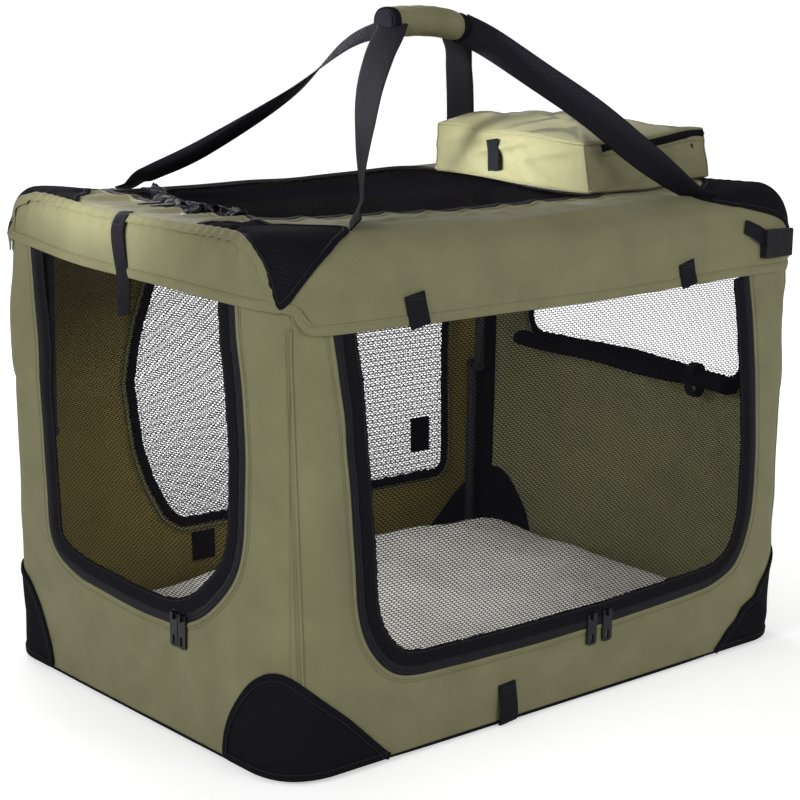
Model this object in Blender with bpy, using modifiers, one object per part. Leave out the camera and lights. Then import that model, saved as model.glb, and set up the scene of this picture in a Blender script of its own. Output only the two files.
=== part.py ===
"""Soft folding dog crate: fabric walls over a folding tube frame, with net doors and a padded grip.

The long side is along X, the front door faces -Y, the end door faces -X and the crate stands on Z = 0.
Units are metres.
"""
import math

import bmesh
import bpy
from mathutils import Matrix, Vector

# Overall size of the fabric box
LENGTH = 0.820
WIDTH = 0.580
HEIGHT = 0.580
WALL = 0.003
GAP = 0.0003
CORNER_RADIUS = 0.065
END_EDGE_RADIUS = 0.025
ROLL_RADIUS = 0.060
FRONT_SKIRT = 0.100
END_SKIRT = 0.080
OVERRUN = 0.020
WELD = 0.000001

# Folding frame
TUBE_RADIUS = 0.008
TUBE_BEND = 0.058
TOP_RING_EASE = 0.0008
LEG_RADIUS = 0.007
LUG_RADIUS = 0.008
LUG_THICKNESS = 0.008
PIN_RADIUS = 0.003
PIN_CLEARANCE = 0.0003
PIN_HEAD_RADIUS = 0.005
PIN_HEAD_THICKNESS = 0.0015
SIDE_CLEARANCE = 0.0005
BRACKET_PLATE = 0.002
BRACKET_LENGTH = 0.024
BRACKET_WEB = 0.003
PIVOT_INSET = 0.048
LEG_INSET = 0.0215
LEG_SPACING = 0.015

# Nets and their hems
NET_THICKNESS = 0.0016
DOOR_CLEARANCE = 0.0007
NET_HEM = 0.022
NET_BAR = 0.010

# Front door, measured from the ends of the long side
FRONT_DOOR_BOTTOM = 0.102
FRONT_DOOR_LEFT_INSET = 0.067
FRONT_DOOR_RIGHT_INSET = 0.085
FRONT_DOOR_DRAFT = 0.025
FRONT_DOOR_BULGE = 0.010
DOOR_CORNER = 0.065

# End door, measured from the sides of the left end
END_DOOR_BOTTOM = 0.138
END_DOOR_BACK_INSET = 0.071
END_DOOR_FRONT_INSET = 0.098
END_DOOR_DRAFT = 0.026
END_DOOR_BULGE = 0.018

# Back window and the open window of the right end, with drops measured from the top
BACK_WINDOW_LEFT_INSET = 0.170
BACK_WINDOW_RIGHT_INSET = 0.078
BACK_WINDOW_BOTTOM = 0.105
BACK_WINDOW_DROP = 0.130
WINDOW_LAP = 0.010
END_WINDOW_FRONT_INSET = 0.085
END_WINDOW_BACK_INSET = 0.090
END_WINDOW_FOOT_DROP = 0.242
END_WINDOW_HEAD_DROP = 0.095
WINDOW_CORNER = 0.030
ROLL_HALF_DEPTH = 0.013
ROLL_HALF_HEIGHT = 0.017
ROLL_INSET = 0.093
TIE_WIDTH = 0.015
TIE_THICKNESS = 0.001
TIE_INSET = 0.153

# Top hatch
HATCH_LEFT_INSET = 0.080
HATCH_RIGHT_INSET = 0.214
HATCH_FRONT_INSET = 0.125
HATCH_BACK_INSET = 0.075
HATCH_CORNER = 0.040

# Storage pouch on the top
POUCH_LEFT_INSET = 0.202
POUCH_RIGHT_INSET = 0.012
POUCH_FRONT_INSET = 0.162
POUCH_BACK_INSET = 0.132
POUCH_HEIGHT = 0.060
POUCH_CORNER = 0.016
LID_THICKNESS = 0.006
LID_CROWN = 0.004
TAB_WIDTH = 0.020
TAB_LENGTH = 0.038
TAB_THICKNESS = 0.001
TAB_INSET = 0.103

# Corner patches
PATCH_THICKNESS = 0.0012
TOP_PATCH_ALONG = 0.150
TOP_PATCH_ACROSS = 0.140
TOP_PATCH_DROP = 0.090
FOOT_PATCH_ALONG = 0.155
FOOT_PATCH_ACROSS = 0.110
FOOT_PATCH_RISE = 0.180
FOOT_PATCH_HEIGHT = 0.125

# Sleeping mat
MAT_END_CLEARANCE = 0.0087
MAT_SIDE_CLEARANCE = 0.028
MAT_EDGE = 0.018
MAT_CROWN = 0.012
MAT_PULL_IN = 0.008
MAT_STEPS = 6

# Carry straps and grip
STRAP_WIDTH = 0.038
STRAP_THICKNESS = 0.0014
STRAP_IN_GRIP = 0.024
STRAP_STACK = 0.0026
STRAP_SEWN = 0.030
STRAP_RISE = 0.005
STRAP_SEAT_TURN = math.radians(20)
STRAP_END_INSET = 0.122
STRAP_BEND_INSET_X = 0.174
STRAP_BEND_INSET_Y = 0.092
STRAP_BEND_RISE = 0.060
STRAP_FLAT_SHARE = 0.14
GRIP_X = 0.029
GRIP_RISE = 0.210
GRIP_LENGTH = 0.134
GRIP_WIDTH = 0.038
GRIP_HEIGHT = 0.040
GRIP_EDGE = 0.004
GRIP_MOUTH = 0.010

# Hanging strap, toggle tabs and ground loop
HANGER_WIDTH = 0.027
HANGER_Y = 0.015
HANGER_HEAD_DROP = 0.027
HANGER_FOOT_DROP = 0.110
TRIM_THICKNESS = 0.0015
TOGGLE_WIDTH = 0.028
TOGGLE_HEAD_DROP = 0.067
TOGGLE_FOOT_DROP = 0.096
TOGGLE_LEFT_INSET = 0.171
TOGGLE_RIGHT_INSET = 0.211
LOOP_X = -0.091
LOOP_WIDTH = 0.030
LOOP_TOP = 0.044
LOOP_SLOT = 0.005
LOOP_SLOT_BOTTOM = 0.007
LOOP_SLOT_TOP = 0.032
LOOP_CORNER = 0.0026
SLOT_CORNER = 0.0016

# Zip sliders and pulls
SLIDER_SIZE = 0.010
SLIDER_BASE = 0.0025
STAPLE_GAP = 0.0028
STAPLE_BAR = 0.0012
STAPLE_HALF = 0.004
STAPLE_WIDTH = 0.0024
PULL_WIDTH = 0.009
PULL_LENGTH = 0.034
PULL_THICKNESS = 0.0016
PULL_WINDOW = 0.0032
PULL_WINDOW_LENGTH = 0.0048
PULL_SLOT = 0.003
PULL_SLOT_LENGTH = 0.009
PULL_CORNER = 0.003
FRONT_SLIDER_X = 0.043
SLIDER_PITCH = 0.026
END_SLIDER_INSET = 0.206
END_SLIDER_PITCH = 0.014
HATCH_SLIDER_Y = 0.012
POUCH_SLIDER_INSET = 0.030

# Side-release buckle
BUCKLE_INSET = 0.085
BUCKLE_DROP = 0.068
BUCKLE_HEIGHT = 0.024
BUCKLE_DEPTH = 0.010
BUCKLE_SOCKET_LENGTH = 0.032
BUCKLE_PLUG_LENGTH = 0.025
TONGUE_LENGTH = 0.020
TONGUE_HEIGHT = 0.014
TONGUE_DEPTH = 0.004
BUCKLE_EDGE = 0.0015

# Numbers of facets and the angles that divide them
ARC_STEPS = 5
ROLL_STEPS = 6
ROUND_SIDES = 16
LEG_SIDES = 12
GRIP_SIDES = 20
STRAP_STEPS = 4
BEVEL_STEPS = 2
TUBE_RESOLUTION = 4
SMOOTH_ANGLE = math.radians(35)
BEVEL_ANGLE = math.radians(60)

# Worked out from the sizes above
HALF_X = LENGTH / 2
HALF_Y = WIDTH / 2
FRONT_SEAM = HEIGHT - FRONT_SKIRT
END_SEAM = HEIGHT - END_SKIRT
FRONT_DOOR_LEFT = HALF_X - FRONT_DOOR_LEFT_INSET
FRONT_DOOR_RIGHT = HALF_X - FRONT_DOOR_RIGHT_INSET
END_DOOR_BACK = HALF_Y - END_DOOR_BACK_INSET
END_DOOR_FRONT = HALF_Y - END_DOOR_FRONT_INSET
BACK_WINDOW_LEFT = HALF_X - BACK_WINDOW_LEFT_INSET
BACK_WINDOW_RIGHT = HALF_X - BACK_WINDOW_RIGHT_INSET
BACK_WINDOW_TOP = HEIGHT - BACK_WINDOW_DROP
END_WINDOW_FRONT = HALF_Y - END_WINDOW_FRONT_INSET
END_WINDOW_BACK = HALF_Y - END_WINDOW_BACK_INSET
END_WINDOW_BOTTOM = HEIGHT - END_WINDOW_FOOT_DROP
END_WINDOW_TOP = HEIGHT - END_WINDOW_HEAD_DROP
ROLL_HALF_LENGTH = HALF_Y - ROLL_INSET
TIE_Y = -(HALF_Y - TIE_INSET)
HATCH_LEFT = HALF_X - HATCH_LEFT_INSET
HATCH_RIGHT = HALF_X - HATCH_RIGHT_INSET
HATCH_FRONT = HALF_Y - HATCH_FRONT_INSET
HATCH_BACK = HALF_Y - HATCH_BACK_INSET
POUCH_LEFT = HALF_X - POUCH_LEFT_INSET
POUCH_RIGHT = HALF_X - POUCH_RIGHT_INSET
POUCH_FRONT = HALF_Y - POUCH_FRONT_INSET
POUCH_BACK = HALF_Y - POUCH_BACK_INSET
TAB_Y = POUCH_BACK - TAB_INSET
WALL_FOOT = WALL + GAP
SEAM_X = HALF_X - CORNER_RADIUS * (1 - math.sin(math.radians(45)))
RING_X = HALF_X - WALL - GAP - TUBE_RADIUS
BASE_RING_Y = HALF_Y - WALL - GAP - TUBE_RADIUS
BASE_RING_Z = WALL + GAP + TUBE_RADIUS
ROLL_REACH = (ROLL_RADIUS - WALL - GAP - TUBE_RADIUS) * math.sin(math.radians(45))
TOP_RING_Y = HALF_Y - ROLL_RADIUS + ROLL_REACH
TOP_RING_Z = HEIGHT - ROLL_RADIUS + ROLL_REACH
PIVOT_X = HALF_X - PIVOT_INSET
LOWER_LEG_Y = HALF_Y - LEG_INSET
UPPER_LEG_Y = LOWER_LEG_Y - LEG_SPACING
PIVOT_STANDOFF = TUBE_RADIUS + BRACKET_WEB + LUG_RADIUS + SIDE_CLEARANCE
BASE_PIVOT_Z = BASE_RING_Z + PIVOT_STANDOFF
TOP_PIVOT_Z = TOP_RING_Z - PIVOT_STANDOFF
LEG_LENGTH = (TOP_PIVOT_Z - BASE_PIVOT_Z) / 2
ELBOW_Z = BASE_PIVOT_Z + LEG_LENGTH
LEG_SLOT = 2 * (LEG_RADIUS + SIDE_CLEARANCE)
MAT_LENGTH = 2 * (RING_X - TUBE_RADIUS - MAT_END_CLEARANCE)
MAT_WIDTH = 2 * (BASE_RING_Y - TUBE_RADIUS - MAT_SIDE_CLEARANCE)
GRIP_Z = HEIGHT + GRIP_RISE
DOOR_Y = -(HALF_Y - WALL / 2)
DOOR_X = -(HALF_X - WALL / 2)
HATCH_Z = HEIGHT - WALL / 2
POUCH_Z = HEIGHT + GAP
LID_Z = POUCH_Z + POUCH_HEIGHT + GAP
SLIDER_CLEAR = DOOR_CLEARANCE + GAP + SLIDER_SIZE / 2
FRONT_ZIP_Z = FRONT_DOOR_BOTTOM - SLIDER_CLEAR
END_ZIP_Z = END_DOOR_BOTTOM - SLIDER_CLEAR
HATCH_ZIP_X = -(HATCH_LEFT + SLIDER_CLEAR)
PULL_LEVEL = SLIDER_BASE + STAPLE_GAP / 2
ROLL_X = HALF_X - WALL - 2 * GAP - TIE_THICKNESS - GAP - ROLL_HALF_DEPTH
ROLL_Z = END_WINDOW_BOTTOM - GAP - ROLL_HALF_HEIGHT
STRAP_SEAT_RADIUS = ROLL_RADIUS + GAP + STRAP_THICKNESS / 2
STRAP_SEAT_Y = HALF_Y - ROLL_RADIUS + STRAP_SEAT_RADIUS * math.sin(STRAP_SEAT_TURN)
STRAP_SEAT_Z = HEIGHT - ROLL_RADIUS + STRAP_SEAT_RADIUS * math.cos(STRAP_SEAT_TURN)

for old in list(bpy.data.objects):
    bpy.data.objects.remove(old, do_unlink=True)

parts = bpy.data.collections.new("soft_folding_dog_crate")
cutters = bpy.data.collections.new("cutters")
bpy.context.scene.collection.children.link(parts)
bpy.context.scene.collection.children.link(cutters)


def finish(name, red, green, blue, roughness, metallic=0.0):
    material = bpy.data.materials.new(name)
    material.use_nodes = True
    shader = material.node_tree.nodes["Principled BSDF"]
    shader.inputs["Base Color"].default_value = (red, green, blue, 1.0)
    shader.inputs["Roughness"].default_value = roughness
    shader.inputs["Metallic"].default_value = metallic
    return material


def add_part(name, mesh, material):
    part = bpy.data.objects.new(name, mesh)
    mesh.materials.clear()
    mesh.materials.append(material)
    parts.objects.link(part)
    return part


def add_cutter(name, mesh):
    cutter = bpy.data.objects.new(name, mesh)
    cutter.hide_render = True
    cutter.display_type = "WIRE"
    cutters.objects.link(cutter)
    return cutter


def boolean(part, other, operation):
    modifier = part.modifiers.new(f"{operation.lower()} {other.name}", "BOOLEAN")
    modifier.operation = operation
    modifier.object = other
    modifier.solver = "EXACT"


def mesh_from(bm, name):
    bmesh.ops.recalc_face_normals(bm, faces=bm.faces)
    mesh = bpy.data.meshes.new(name)
    bm.to_mesh(mesh)
    bm.free()
    return mesh


def shade_round(mesh):
    mesh.shade_smooth()
    mesh.set_sharp_from_angle(angle=SMOOTH_ANGLE)
    return mesh


def box_mesh(name, low, high):
    low, high = Vector(low), Vector(high)
    bm = bmesh.new()
    bmesh.ops.create_cube(bm, size=1)
    bmesh.ops.scale(bm, vec=high - low, verts=bm.verts)
    bmesh.ops.translate(bm, vec=(low + high) / 2, verts=bm.verts)
    return mesh_from(bm, name)


def rod_mesh(name, start, end, radius, sides=ROUND_SIDES):
    """A straight round rod from one point to another."""
    start, end = Vector(start), Vector(end)
    turn = (end - start).to_track_quat("Z", "Y").to_matrix().to_4x4()
    place = Matrix.Translation((start + end) / 2) @ turn
    bm = bmesh.new()
    bmesh.ops.create_cone(
        bm,
        cap_ends=True,
        segments=sides,
        radius1=radius,
        radius2=radius,
        depth=(end - start).length,
        matrix=place,
    )
    return shade_round(mesh_from(bm, name))


def mesh_of_curve(curve):
    """The welded mesh of a curve datablock."""
    holder = bpy.data.objects.new(curve.name, curve)
    bpy.context.scene.collection.objects.link(holder)
    depsgraph = bpy.context.evaluated_depsgraph_get()
    mesh = bpy.data.meshes.new_from_object(holder.evaluated_get(depsgraph))
    bpy.data.objects.remove(holder, do_unlink=True)
    bm = bmesh.new()
    bm.from_mesh(mesh)
    bmesh.ops.remove_doubles(bm, verts=bm.verts, dist=WELD)
    return mesh_from(bm, curve.name)


def plate_mesh(name, outlines, axis, low, high):
    """A flat plate with any holes, whose outlines lie square to an axis, between two levels."""
    curve = bpy.data.curves.new(name, "CURVE")
    curve.dimensions = "2D"
    curve.fill_mode = "BOTH"
    curve.extrude = (high - low) / 2
    for outline in outlines:
        spline = curve.splines.new("POLY")
        spline.points.add(len(outline) - 1)
        for point, (across, up) in zip(spline.points, outline):
            point.co = (across, up, 0, 1)
        spline.use_cyclic_u = True
    mesh = mesh_of_curve(curve)
    middle = (low + high) / 2
    columns = {
        "X": ((0, 1, 0), (0, 0, 1), (1, 0, 0)),
        "Y": ((1, 0, 0), (0, 0, 1), (0, -1, 0)),
        "Z": ((1, 0, 0), (0, 1, 0), (0, 0, 1)),
    }[axis]
    turn = Matrix(columns).transposed().to_4x4()
    shift = Vector([middle if letter == axis else 0 for letter in "XYZ"])
    mesh.transform(Matrix.Translation(shift) @ turn)
    return mesh


def tube_mesh(name, points, radius):
    """A closed ring of round tube through the points."""
    curve = bpy.data.curves.new(name, "CURVE")
    curve.dimensions = "3D"
    curve.bevel_depth = radius
    curve.bevel_resolution = TUBE_RESOLUTION
    spline = curve.splines.new("POLY")
    spline.points.add(len(points) - 1)
    for point, place in zip(spline.points, points):
        point.co = (*place, 1)
    spline.use_cyclic_u = True
    return shade_round(mesh_of_curve(curve))


def rounded(corners):
    """An outline through corners of (across, up, radius), each rounded by an arc."""
    outline = []
    for index, (across, up, radius) in enumerate(corners):
        here = Vector((across, up))
        back = (Vector(corners[index - 1][:2]) - here).normalized()
        ahead = (Vector(corners[(index + 1) % len(corners)][:2]) - here).normalized()
        if radius == 0:
            outline.append(tuple(here))
            continue
        half = back.angle(ahead) / 2
        centre = here + (back + ahead).normalized() * radius / math.sin(half)
        start = here + back * radius / math.tan(half) - centre
        end = here + ahead * radius / math.tan(half) - centre
        sweep = start.angle_signed(end)
        for step in range(ARC_STEPS + 1):
            arm = start.copy()
            arm.rotate(Matrix.Rotation(-sweep * step / ARC_STEPS, 2))
            outline.append(tuple(centre + arm))
    return outline


def rectangle(left, bottom, right, top, radius=0):
    corners = ((left, bottom), (right, bottom), (right, top), (left, top))
    return rounded([(across, up, radius) for across, up in corners])


def ellipse(centre_across, centre_up, half_across, half_up, sides=ROUND_SIDES):
    turns = [2 * math.pi * side / sides for side in range(sides)]
    return [
        (centre_across + half_across * math.cos(turn), centre_up + half_up * math.sin(turn))
        for turn in turns
    ]


def box_outline(grow):
    """The crate's plan, grown by an offset."""
    x, y = HALF_X + grow, HALF_Y + grow
    return rectangle(-x, -y, x, y, CORNER_RADIUS + grow)


def rolled_block(name, grow, bottom):
    """The crate's top as a solid: rings of its plan, drawn in over the rolled edges, grown by an offset."""
    roll, end_roll = ROLL_RADIUS + grow, END_EDGE_RADIUS + grow
    rings = [(bottom, HALF_X + grow, HALF_Y + grow)]
    for step in range(ROLL_STEPS + 1):
        turn = math.radians(90) * step / ROLL_STEPS
        level = HEIGHT - ROLL_RADIUS + roll * math.sin(turn)
        above = min(max(level - HEIGHT + END_EDGE_RADIUS, 0), end_roll)
        half_x = HALF_X - END_EDGE_RADIUS + math.sqrt(end_roll**2 - above**2)
        rings.append((level, half_x, HALF_Y - ROLL_RADIUS + roll * math.cos(turn)))
    bm = bmesh.new()
    loops = []
    for level, x, y in rings:
        outline = rectangle(-x, -y, x, y, CORNER_RADIUS + grow)
        loops.append([bm.verts.new((*point, level)) for point in outline])
    for loop, following in zip(loops, loops[1:]):
        for index in range(len(loop)):
            bm.faces.new((loop[index - 1], loop[index], following[index], following[index - 1]))
    bm.faces.new(reversed(loops[0]))
    bm.faces.new(loops[-1])
    return mesh_from(bm, name)


def corner_wedge(name, side_x, side_y, corner_z, along, across, rise, up):
    """A tetrahedron that holds one corner of the crate, cut off by a sloping plane."""
    share = 1 + OVERRUN / along + OVERRUN / across + OVERRUN / rise
    tip = Vector((
        side_x * (HALF_X + OVERRUN),
        side_y * (HALF_Y + OVERRUN),
        corner_z - up * OVERRUN,
    ))
    reaches = (
        Vector((-side_x * along, 0, 0)),
        Vector((0, -side_y * across, 0)),
        Vector((0, 0, up * rise)),
    )
    bm = bmesh.new()
    for place in (tip, *[tip + reach * share for reach in reaches]):
        bm.verts.new(place)
    bmesh.ops.convex_hull(bm, input=bm.verts)
    return mesh_from(bm, name)


def net_holes(outline, columns, rows):
    """Staggered diamond gaps that fill an outline's box, kept where they clear its hem."""
    left = min(point[0] for point in outline) + NET_HEM
    right = max(point[0] for point in outline) - NET_HEM
    bottom = min(point[1] for point in outline) + NET_HEM
    top = max(point[1] for point in outline) - NET_HEM
    pitch_across = (right - left) / columns
    pitch_up = (top - bottom) / rows
    holes = []
    for row in range(2 * rows - 1):
        stagger = row % 2
        for column in range(columns - stagger):
            across = left + pitch_across * (column + 0.5 + 0.5 * stagger)
            up = bottom + pitch_up * (0.5 + 0.5 * row)
            half_across = (pitch_across - NET_BAR) / 2
            half_up = (pitch_up - NET_BAR) / 2
            diamond = [
                (across + half_across, up),
                (across, up + half_up),
                (across - half_across, up),
                (across, up - half_up),
            ]
            if all(clears_hem(point, outline) for point in diamond):
                holes.append(diamond)
    return holes


def clears_hem(point, outline):
    """Whether a point lies inside an outline, at least a hem's width from its edge."""
    point = Vector(point)
    inside = False
    for index, end in enumerate(outline):
        start, end = Vector(outline[index - 1]), Vector(end)
        run = end - start
        share = max(0, min(1, (point - start).dot(run) / run.dot(run)))
        if (point - start - run * share).length < NET_HEM:
            return False
        if (start.y > point.y) != (end.y > point.y):
            crossing = start.x + run.x * (point.y - start.y) / run.y
            inside ^= point.x < crossing
    return inside


OLIVE = finish("olive_polyester", 0.17, 0.16, 0.09, 0.75)
NET = finish("black_net", 0.012, 0.012, 0.014, 0.6)
BLACK = finish("black_webbing", 0.010, 0.010, 0.012, 0.6)
FLEECE = finish("cream_fleece", 0.72, 0.70, 0.64, 0.95)
STEEL = finish("painted_steel", 0.03, 0.03, 0.033, 0.4, 0.6)
PLASTIC = finish("black_plastic", 0.010, 0.010, 0.011, 0.3)


def joint_point(name, place):
    """An empty on a joint's axis, which carries the pieces that move about it."""
    empty = bpy.data.objects.new(name, None)
    empty.location = place
    parts.objects.link(empty)
    return empty


def carry(empty, *pieces):
    """Parent pieces to a joint's empty without moving them."""
    for piece in pieces:
        piece.parent = empty
        piece.matrix_parent_inverse = Matrix.Translation(-empty.location)


# Folding frame

def frame_ring(name, half_x, half_y, level, leg_y, pivot_z):
    """A ring of tube with four forked brackets, each with the pin that a leg turns on."""
    up = 1 if pivot_z > level else -1
    outline = rectangle(-half_x, -half_y, half_x, half_y, TUBE_BEND)
    ring = add_part(name, tube_mesh(name, [(x, y, level) for x, y in outline], TUBE_RADIUS), STEEL)
    half_width = LEG_SLOT / 2 + BRACKET_PLATE
    tip = pivot_z + up * (LUG_RADIUS + BRACKET_PLATE)
    slot_root = pivot_z - up * (LUG_RADIUS + SIDE_CLEARANCE)
    for side_x in (-1, 1):
        for side_y in (-1, 1):
            label = f"{name}_{side_x}_{side_y}"
            x, y = side_x * PIVOT_X, side_y * leg_y
            low = (x - BRACKET_LENGTH / 2, y - half_width, min(level, tip))
            high = (x + BRACKET_LENGTH / 2, y + half_width, max(level, tip))
            boolean(ring, add_cutter(f"{label}_fork", box_mesh(label, low, high)), "UNION")
            slot_end = tip + up * OVERRUN
            low = (x - BRACKET_LENGTH, y - LEG_SLOT / 2, min(slot_root, slot_end))
            high = (x + BRACKET_LENGTH, y + LEG_SLOT / 2, max(slot_root, slot_end))
            boolean(ring, add_cutter(f"{label}_slot", box_mesh(label, low, high)), "DIFFERENCE")
            reach = LEG_SLOT / 2 + BRACKET_PLATE / 2
            pin = rod_mesh(label, (x, y - reach, pivot_z), (x, y + reach, pivot_z), PIN_RADIUS)
            boolean(ring, add_cutter(f"{label}_pin", pin), "UNION")


def leg_half(name, x, y, foot, head, pin_to=None):
    """A tube with a flat eye at each end; a lower half also carries the elbow's pin."""
    start = foot + PIN_RADIUS + BRACKET_PLATE
    end = head - PIN_RADIUS - BRACKET_PLATE
    leg = add_part(name, rod_mesh(name, (x, y, start), (x, y, end), LEG_RADIUS, LEG_SIDES), STEEL)
    for label, level in (("foot", foot), ("head", head)):
        half = LUG_THICKNESS / 2
        eye = rod_mesh(name, (x, y - half, level), (x, y + half, level), LUG_RADIUS)
        boolean(leg, add_cutter(f"{name}_{label}_eye", eye), "UNION")
        if label == "foot" or pin_to is None:
            bore = PIN_RADIUS + PIN_CLEARANCE
            far = half + OVERRUN
            hole = rod_mesh(name, (x, y - far, level), (x, y + far, level), bore)
            boolean(leg, add_cutter(f"{name}_{label}_hole", hole), "DIFFERENCE")
    if pin_to is not None:
        inward = -1 if y > 0 else 1
        end_y = pin_to + inward * (LUG_THICKNESS / 2 + GAP)
        pin = rod_mesh(name, (x, y, head), (x, end_y + inward * PIN_HEAD_THICKNESS / 2, head), PIN_RADIUS)
        boolean(leg, add_cutter(f"{name}_pin", pin), "UNION")
        far_y = end_y + inward * PIN_HEAD_THICKNESS
        cap = rod_mesh(name, (x, end_y, head), (x, far_y, head), PIN_HEAD_RADIUS)
        boolean(leg, add_cutter(f"{name}_pin_head", cap), "UNION")
    return leg


def folding_frame():
    top_x = RING_X - TOP_RING_EASE
    frame_ring("base_frame", RING_X, BASE_RING_Y, BASE_RING_Z, LOWER_LEG_Y, BASE_PIVOT_Z)
    frame_ring("top_frame", top_x, TOP_RING_Y, TOP_RING_Z, UPPER_LEG_Y, TOP_PIVOT_Z)
    for side_x, end_name in ((-1, "left"), (1, "right")):
        foot_joint = joint_point(f"{end_name}_foot_axis", (side_x * PIVOT_X, 0, BASE_PIVOT_Z))
        elbow_joint = joint_point(f"{end_name}_elbow_axis", (side_x * PIVOT_X, 0, ELBOW_Z))
        for side_y, side_name in ((-1, "front"), (1, "back")):
            x = side_x * PIVOT_X
            low_y, high_y = side_y * LOWER_LEG_Y, side_y * UPPER_LEG_Y
            corner = f"{side_name}_{end_name}"
            lower = leg_half(f"{corner}_lower_leg", x, low_y, BASE_PIVOT_Z, ELBOW_Z, high_y)
            upper = leg_half(f"{corner}_upper_leg", x, high_y, ELBOW_Z, TOP_PIVOT_Z)
            carry(foot_joint, lower)
            carry(elbow_joint, upper)


# Fabric box

def front_door_outline(grow, top):
    """The left side leans in towards the foot and the right side bows out, as the sewn zip does."""
    left, right = -FRONT_DOOR_LEFT - grow, FRONT_DOOR_RIGHT + grow
    bottom = FRONT_DOOR_BOTTOM - grow
    middle = (FRONT_DOOR_BOTTOM + FRONT_SEAM) / 2
    draft_rate = FRONT_DOOR_DRAFT / (FRONT_SEAM - FRONT_DOOR_BOTTOM)
    bulge_rate = FRONT_DOOR_BULGE / (FRONT_SEAM - middle)
    radius = DOOR_CORNER + grow
    return rounded([
        (left + draft_rate * (FRONT_SEAM - top), top, 0),
        (left + draft_rate * (FRONT_SEAM - bottom), bottom, radius),
        (right + FRONT_DOOR_BULGE, bottom, radius),
        (right + FRONT_DOOR_BULGE, middle, 0),
        (right + bulge_rate * (FRONT_SEAM - top), top, 0),
    ])


def end_door_outline(grow, top):
    """The front side bows out and the back side leans in towards the foot."""
    back, front = END_DOOR_BACK + grow, -END_DOOR_FRONT - grow
    bottom = END_DOOR_BOTTOM - grow
    middle = (END_DOOR_BOTTOM + END_SEAM) / 2
    draft_rate = END_DOOR_DRAFT / (END_SEAM - END_DOOR_BOTTOM)
    bulge_rate = END_DOOR_BULGE / (END_SEAM - middle)
    radius = DOOR_CORNER + grow
    return rounded([
        (back - draft_rate * (END_SEAM - top), top, 0),
        (front - bulge_rate * (END_SEAM - top), top, 0),
        (front - END_DOOR_BULGE, middle, 0),
        (front - END_DOOR_BULGE, bottom, radius),
        (back - draft_rate * (END_SEAM - bottom), bottom, radius),
    ])


def back_window_outline(grow):
    return rectangle(
        -BACK_WINDOW_LEFT - grow,
        BACK_WINDOW_BOTTOM - grow,
        BACK_WINDOW_RIGHT + grow,
        BACK_WINDOW_TOP + grow,
        WINDOW_CORNER + grow,
    )


def long_walls():
    """Front and back walls that end at the middle of each corner, cut for the door and the window."""
    reach = SEAM_X - GAP / 2
    far = HALF_Y + OVERRUN
    for name, side in (("front_wall", -1), ("back_wall", 1)):
        mesh = plate_mesh(name, [box_outline(0), box_outline(-WALL)], "Z", WALL_FOOT, FRONT_SEAM - GAP)
        wall = add_part(name, mesh, OLIVE)
        limits = sorted((0, side * far))
        keep = box_mesh(name, (-reach, limits[0], -OVERRUN), (reach, limits[1], HEIGHT))
        boolean(wall, add_cutter(f"{name}_reach", keep), "INTERSECT")
        if side < 0:
            hole = front_door_outline(DOOR_CLEARANCE, FRONT_SEAM + OVERRUN)
        else:
            hole = back_window_outline(0)
        depth = sorted((side * (HALF_Y - WALL - OVERRUN), side * far))
        boolean(wall, add_cutter(f"{name}_hole", plate_mesh(name, [hole], "Y", *depth)), "DIFFERENCE")


def end_walls():
    """End walls that wrap to the middle of each corner, cut for the end door and the open window."""
    far = HALF_X + OVERRUN
    for name, side in (("left_end_wall", -1), ("right_end_wall", 1)):
        mesh = plate_mesh(name, [box_outline(0), box_outline(-WALL)], "Z", WALL_FOOT, END_SEAM - GAP)
        wall = add_part(name, mesh, OLIVE)
        limits = sorted((side * (SEAM_X + GAP / 2), side * far))
        keep = box_mesh(name, (limits[0], -far, -OVERRUN), (limits[1], far, HEIGHT))
        boolean(wall, add_cutter(f"{name}_reach", keep), "INTERSECT")
        if side < 0:
            hole = end_door_outline(DOOR_CLEARANCE, END_SEAM + OVERRUN)
        else:
            hole = rectangle(
                -END_WINDOW_FRONT, END_WINDOW_BOTTOM, END_WINDOW_BACK, END_WINDOW_TOP, WINDOW_CORNER
            )
        depth = sorted((side * (HALF_X - WALL - OVERRUN), side * far))
        boolean(wall, add_cutter(f"{name}_hole", plate_mesh(name, [hole], "X", *depth)), "DIFFERENCE")


def top_cover():
    """The top with its skirts: an open shell with rolled long edges and a hole for the hatch."""
    cover = add_part("top_cover", rolled_block("top_cover", 0, FRONT_SEAM), OLIVE)
    inside = rolled_block("top_inside", -WALL, FRONT_SEAM - OVERRUN)
    boolean(cover, add_cutter("top_inside", inside), "DIFFERENCE")
    for side in (-1, 1):
        limits = sorted((side * SEAM_X, side * (HALF_X + OVERRUN)))
        low = (limits[0], -HALF_Y - OVERRUN, FRONT_SEAM - OVERRUN)
        high = (limits[1], HALF_Y + OVERRUN, END_SEAM)
        boolean(cover, add_cutter(f"skirt_step_{side}", box_mesh("step", low, high)), "DIFFERENCE")
    hole = hatch_outline(DOOR_CLEARANCE)
    hatch_hole = plate_mesh("hatch_hole", [hole], "Z", END_SEAM, HEIGHT + OVERRUN)
    boolean(cover, add_cutter("hatch_hole", hatch_hole), "DIFFERENCE")
    return cover


def hatch_outline(grow):
    return rounded([
        (-HATCH_LEFT - grow, -HATCH_FRONT - grow, HATCH_CORNER),
        (HATCH_RIGHT + grow, -HATCH_FRONT - grow, 0),
        (HATCH_RIGHT + grow, HATCH_BACK + grow, 0),
        (-HATCH_LEFT - grow, HATCH_BACK + grow, HATCH_CORNER),
    ])


def net_part(name, outline, axis, middle, columns, rows):
    holes = net_holes(outline, columns, rows)
    half = NET_THICKNESS / 2
    mesh = plate_mesh(name, [outline, *holes], axis, middle - half, middle + half)
    return add_part(name, mesh, NET)


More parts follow.
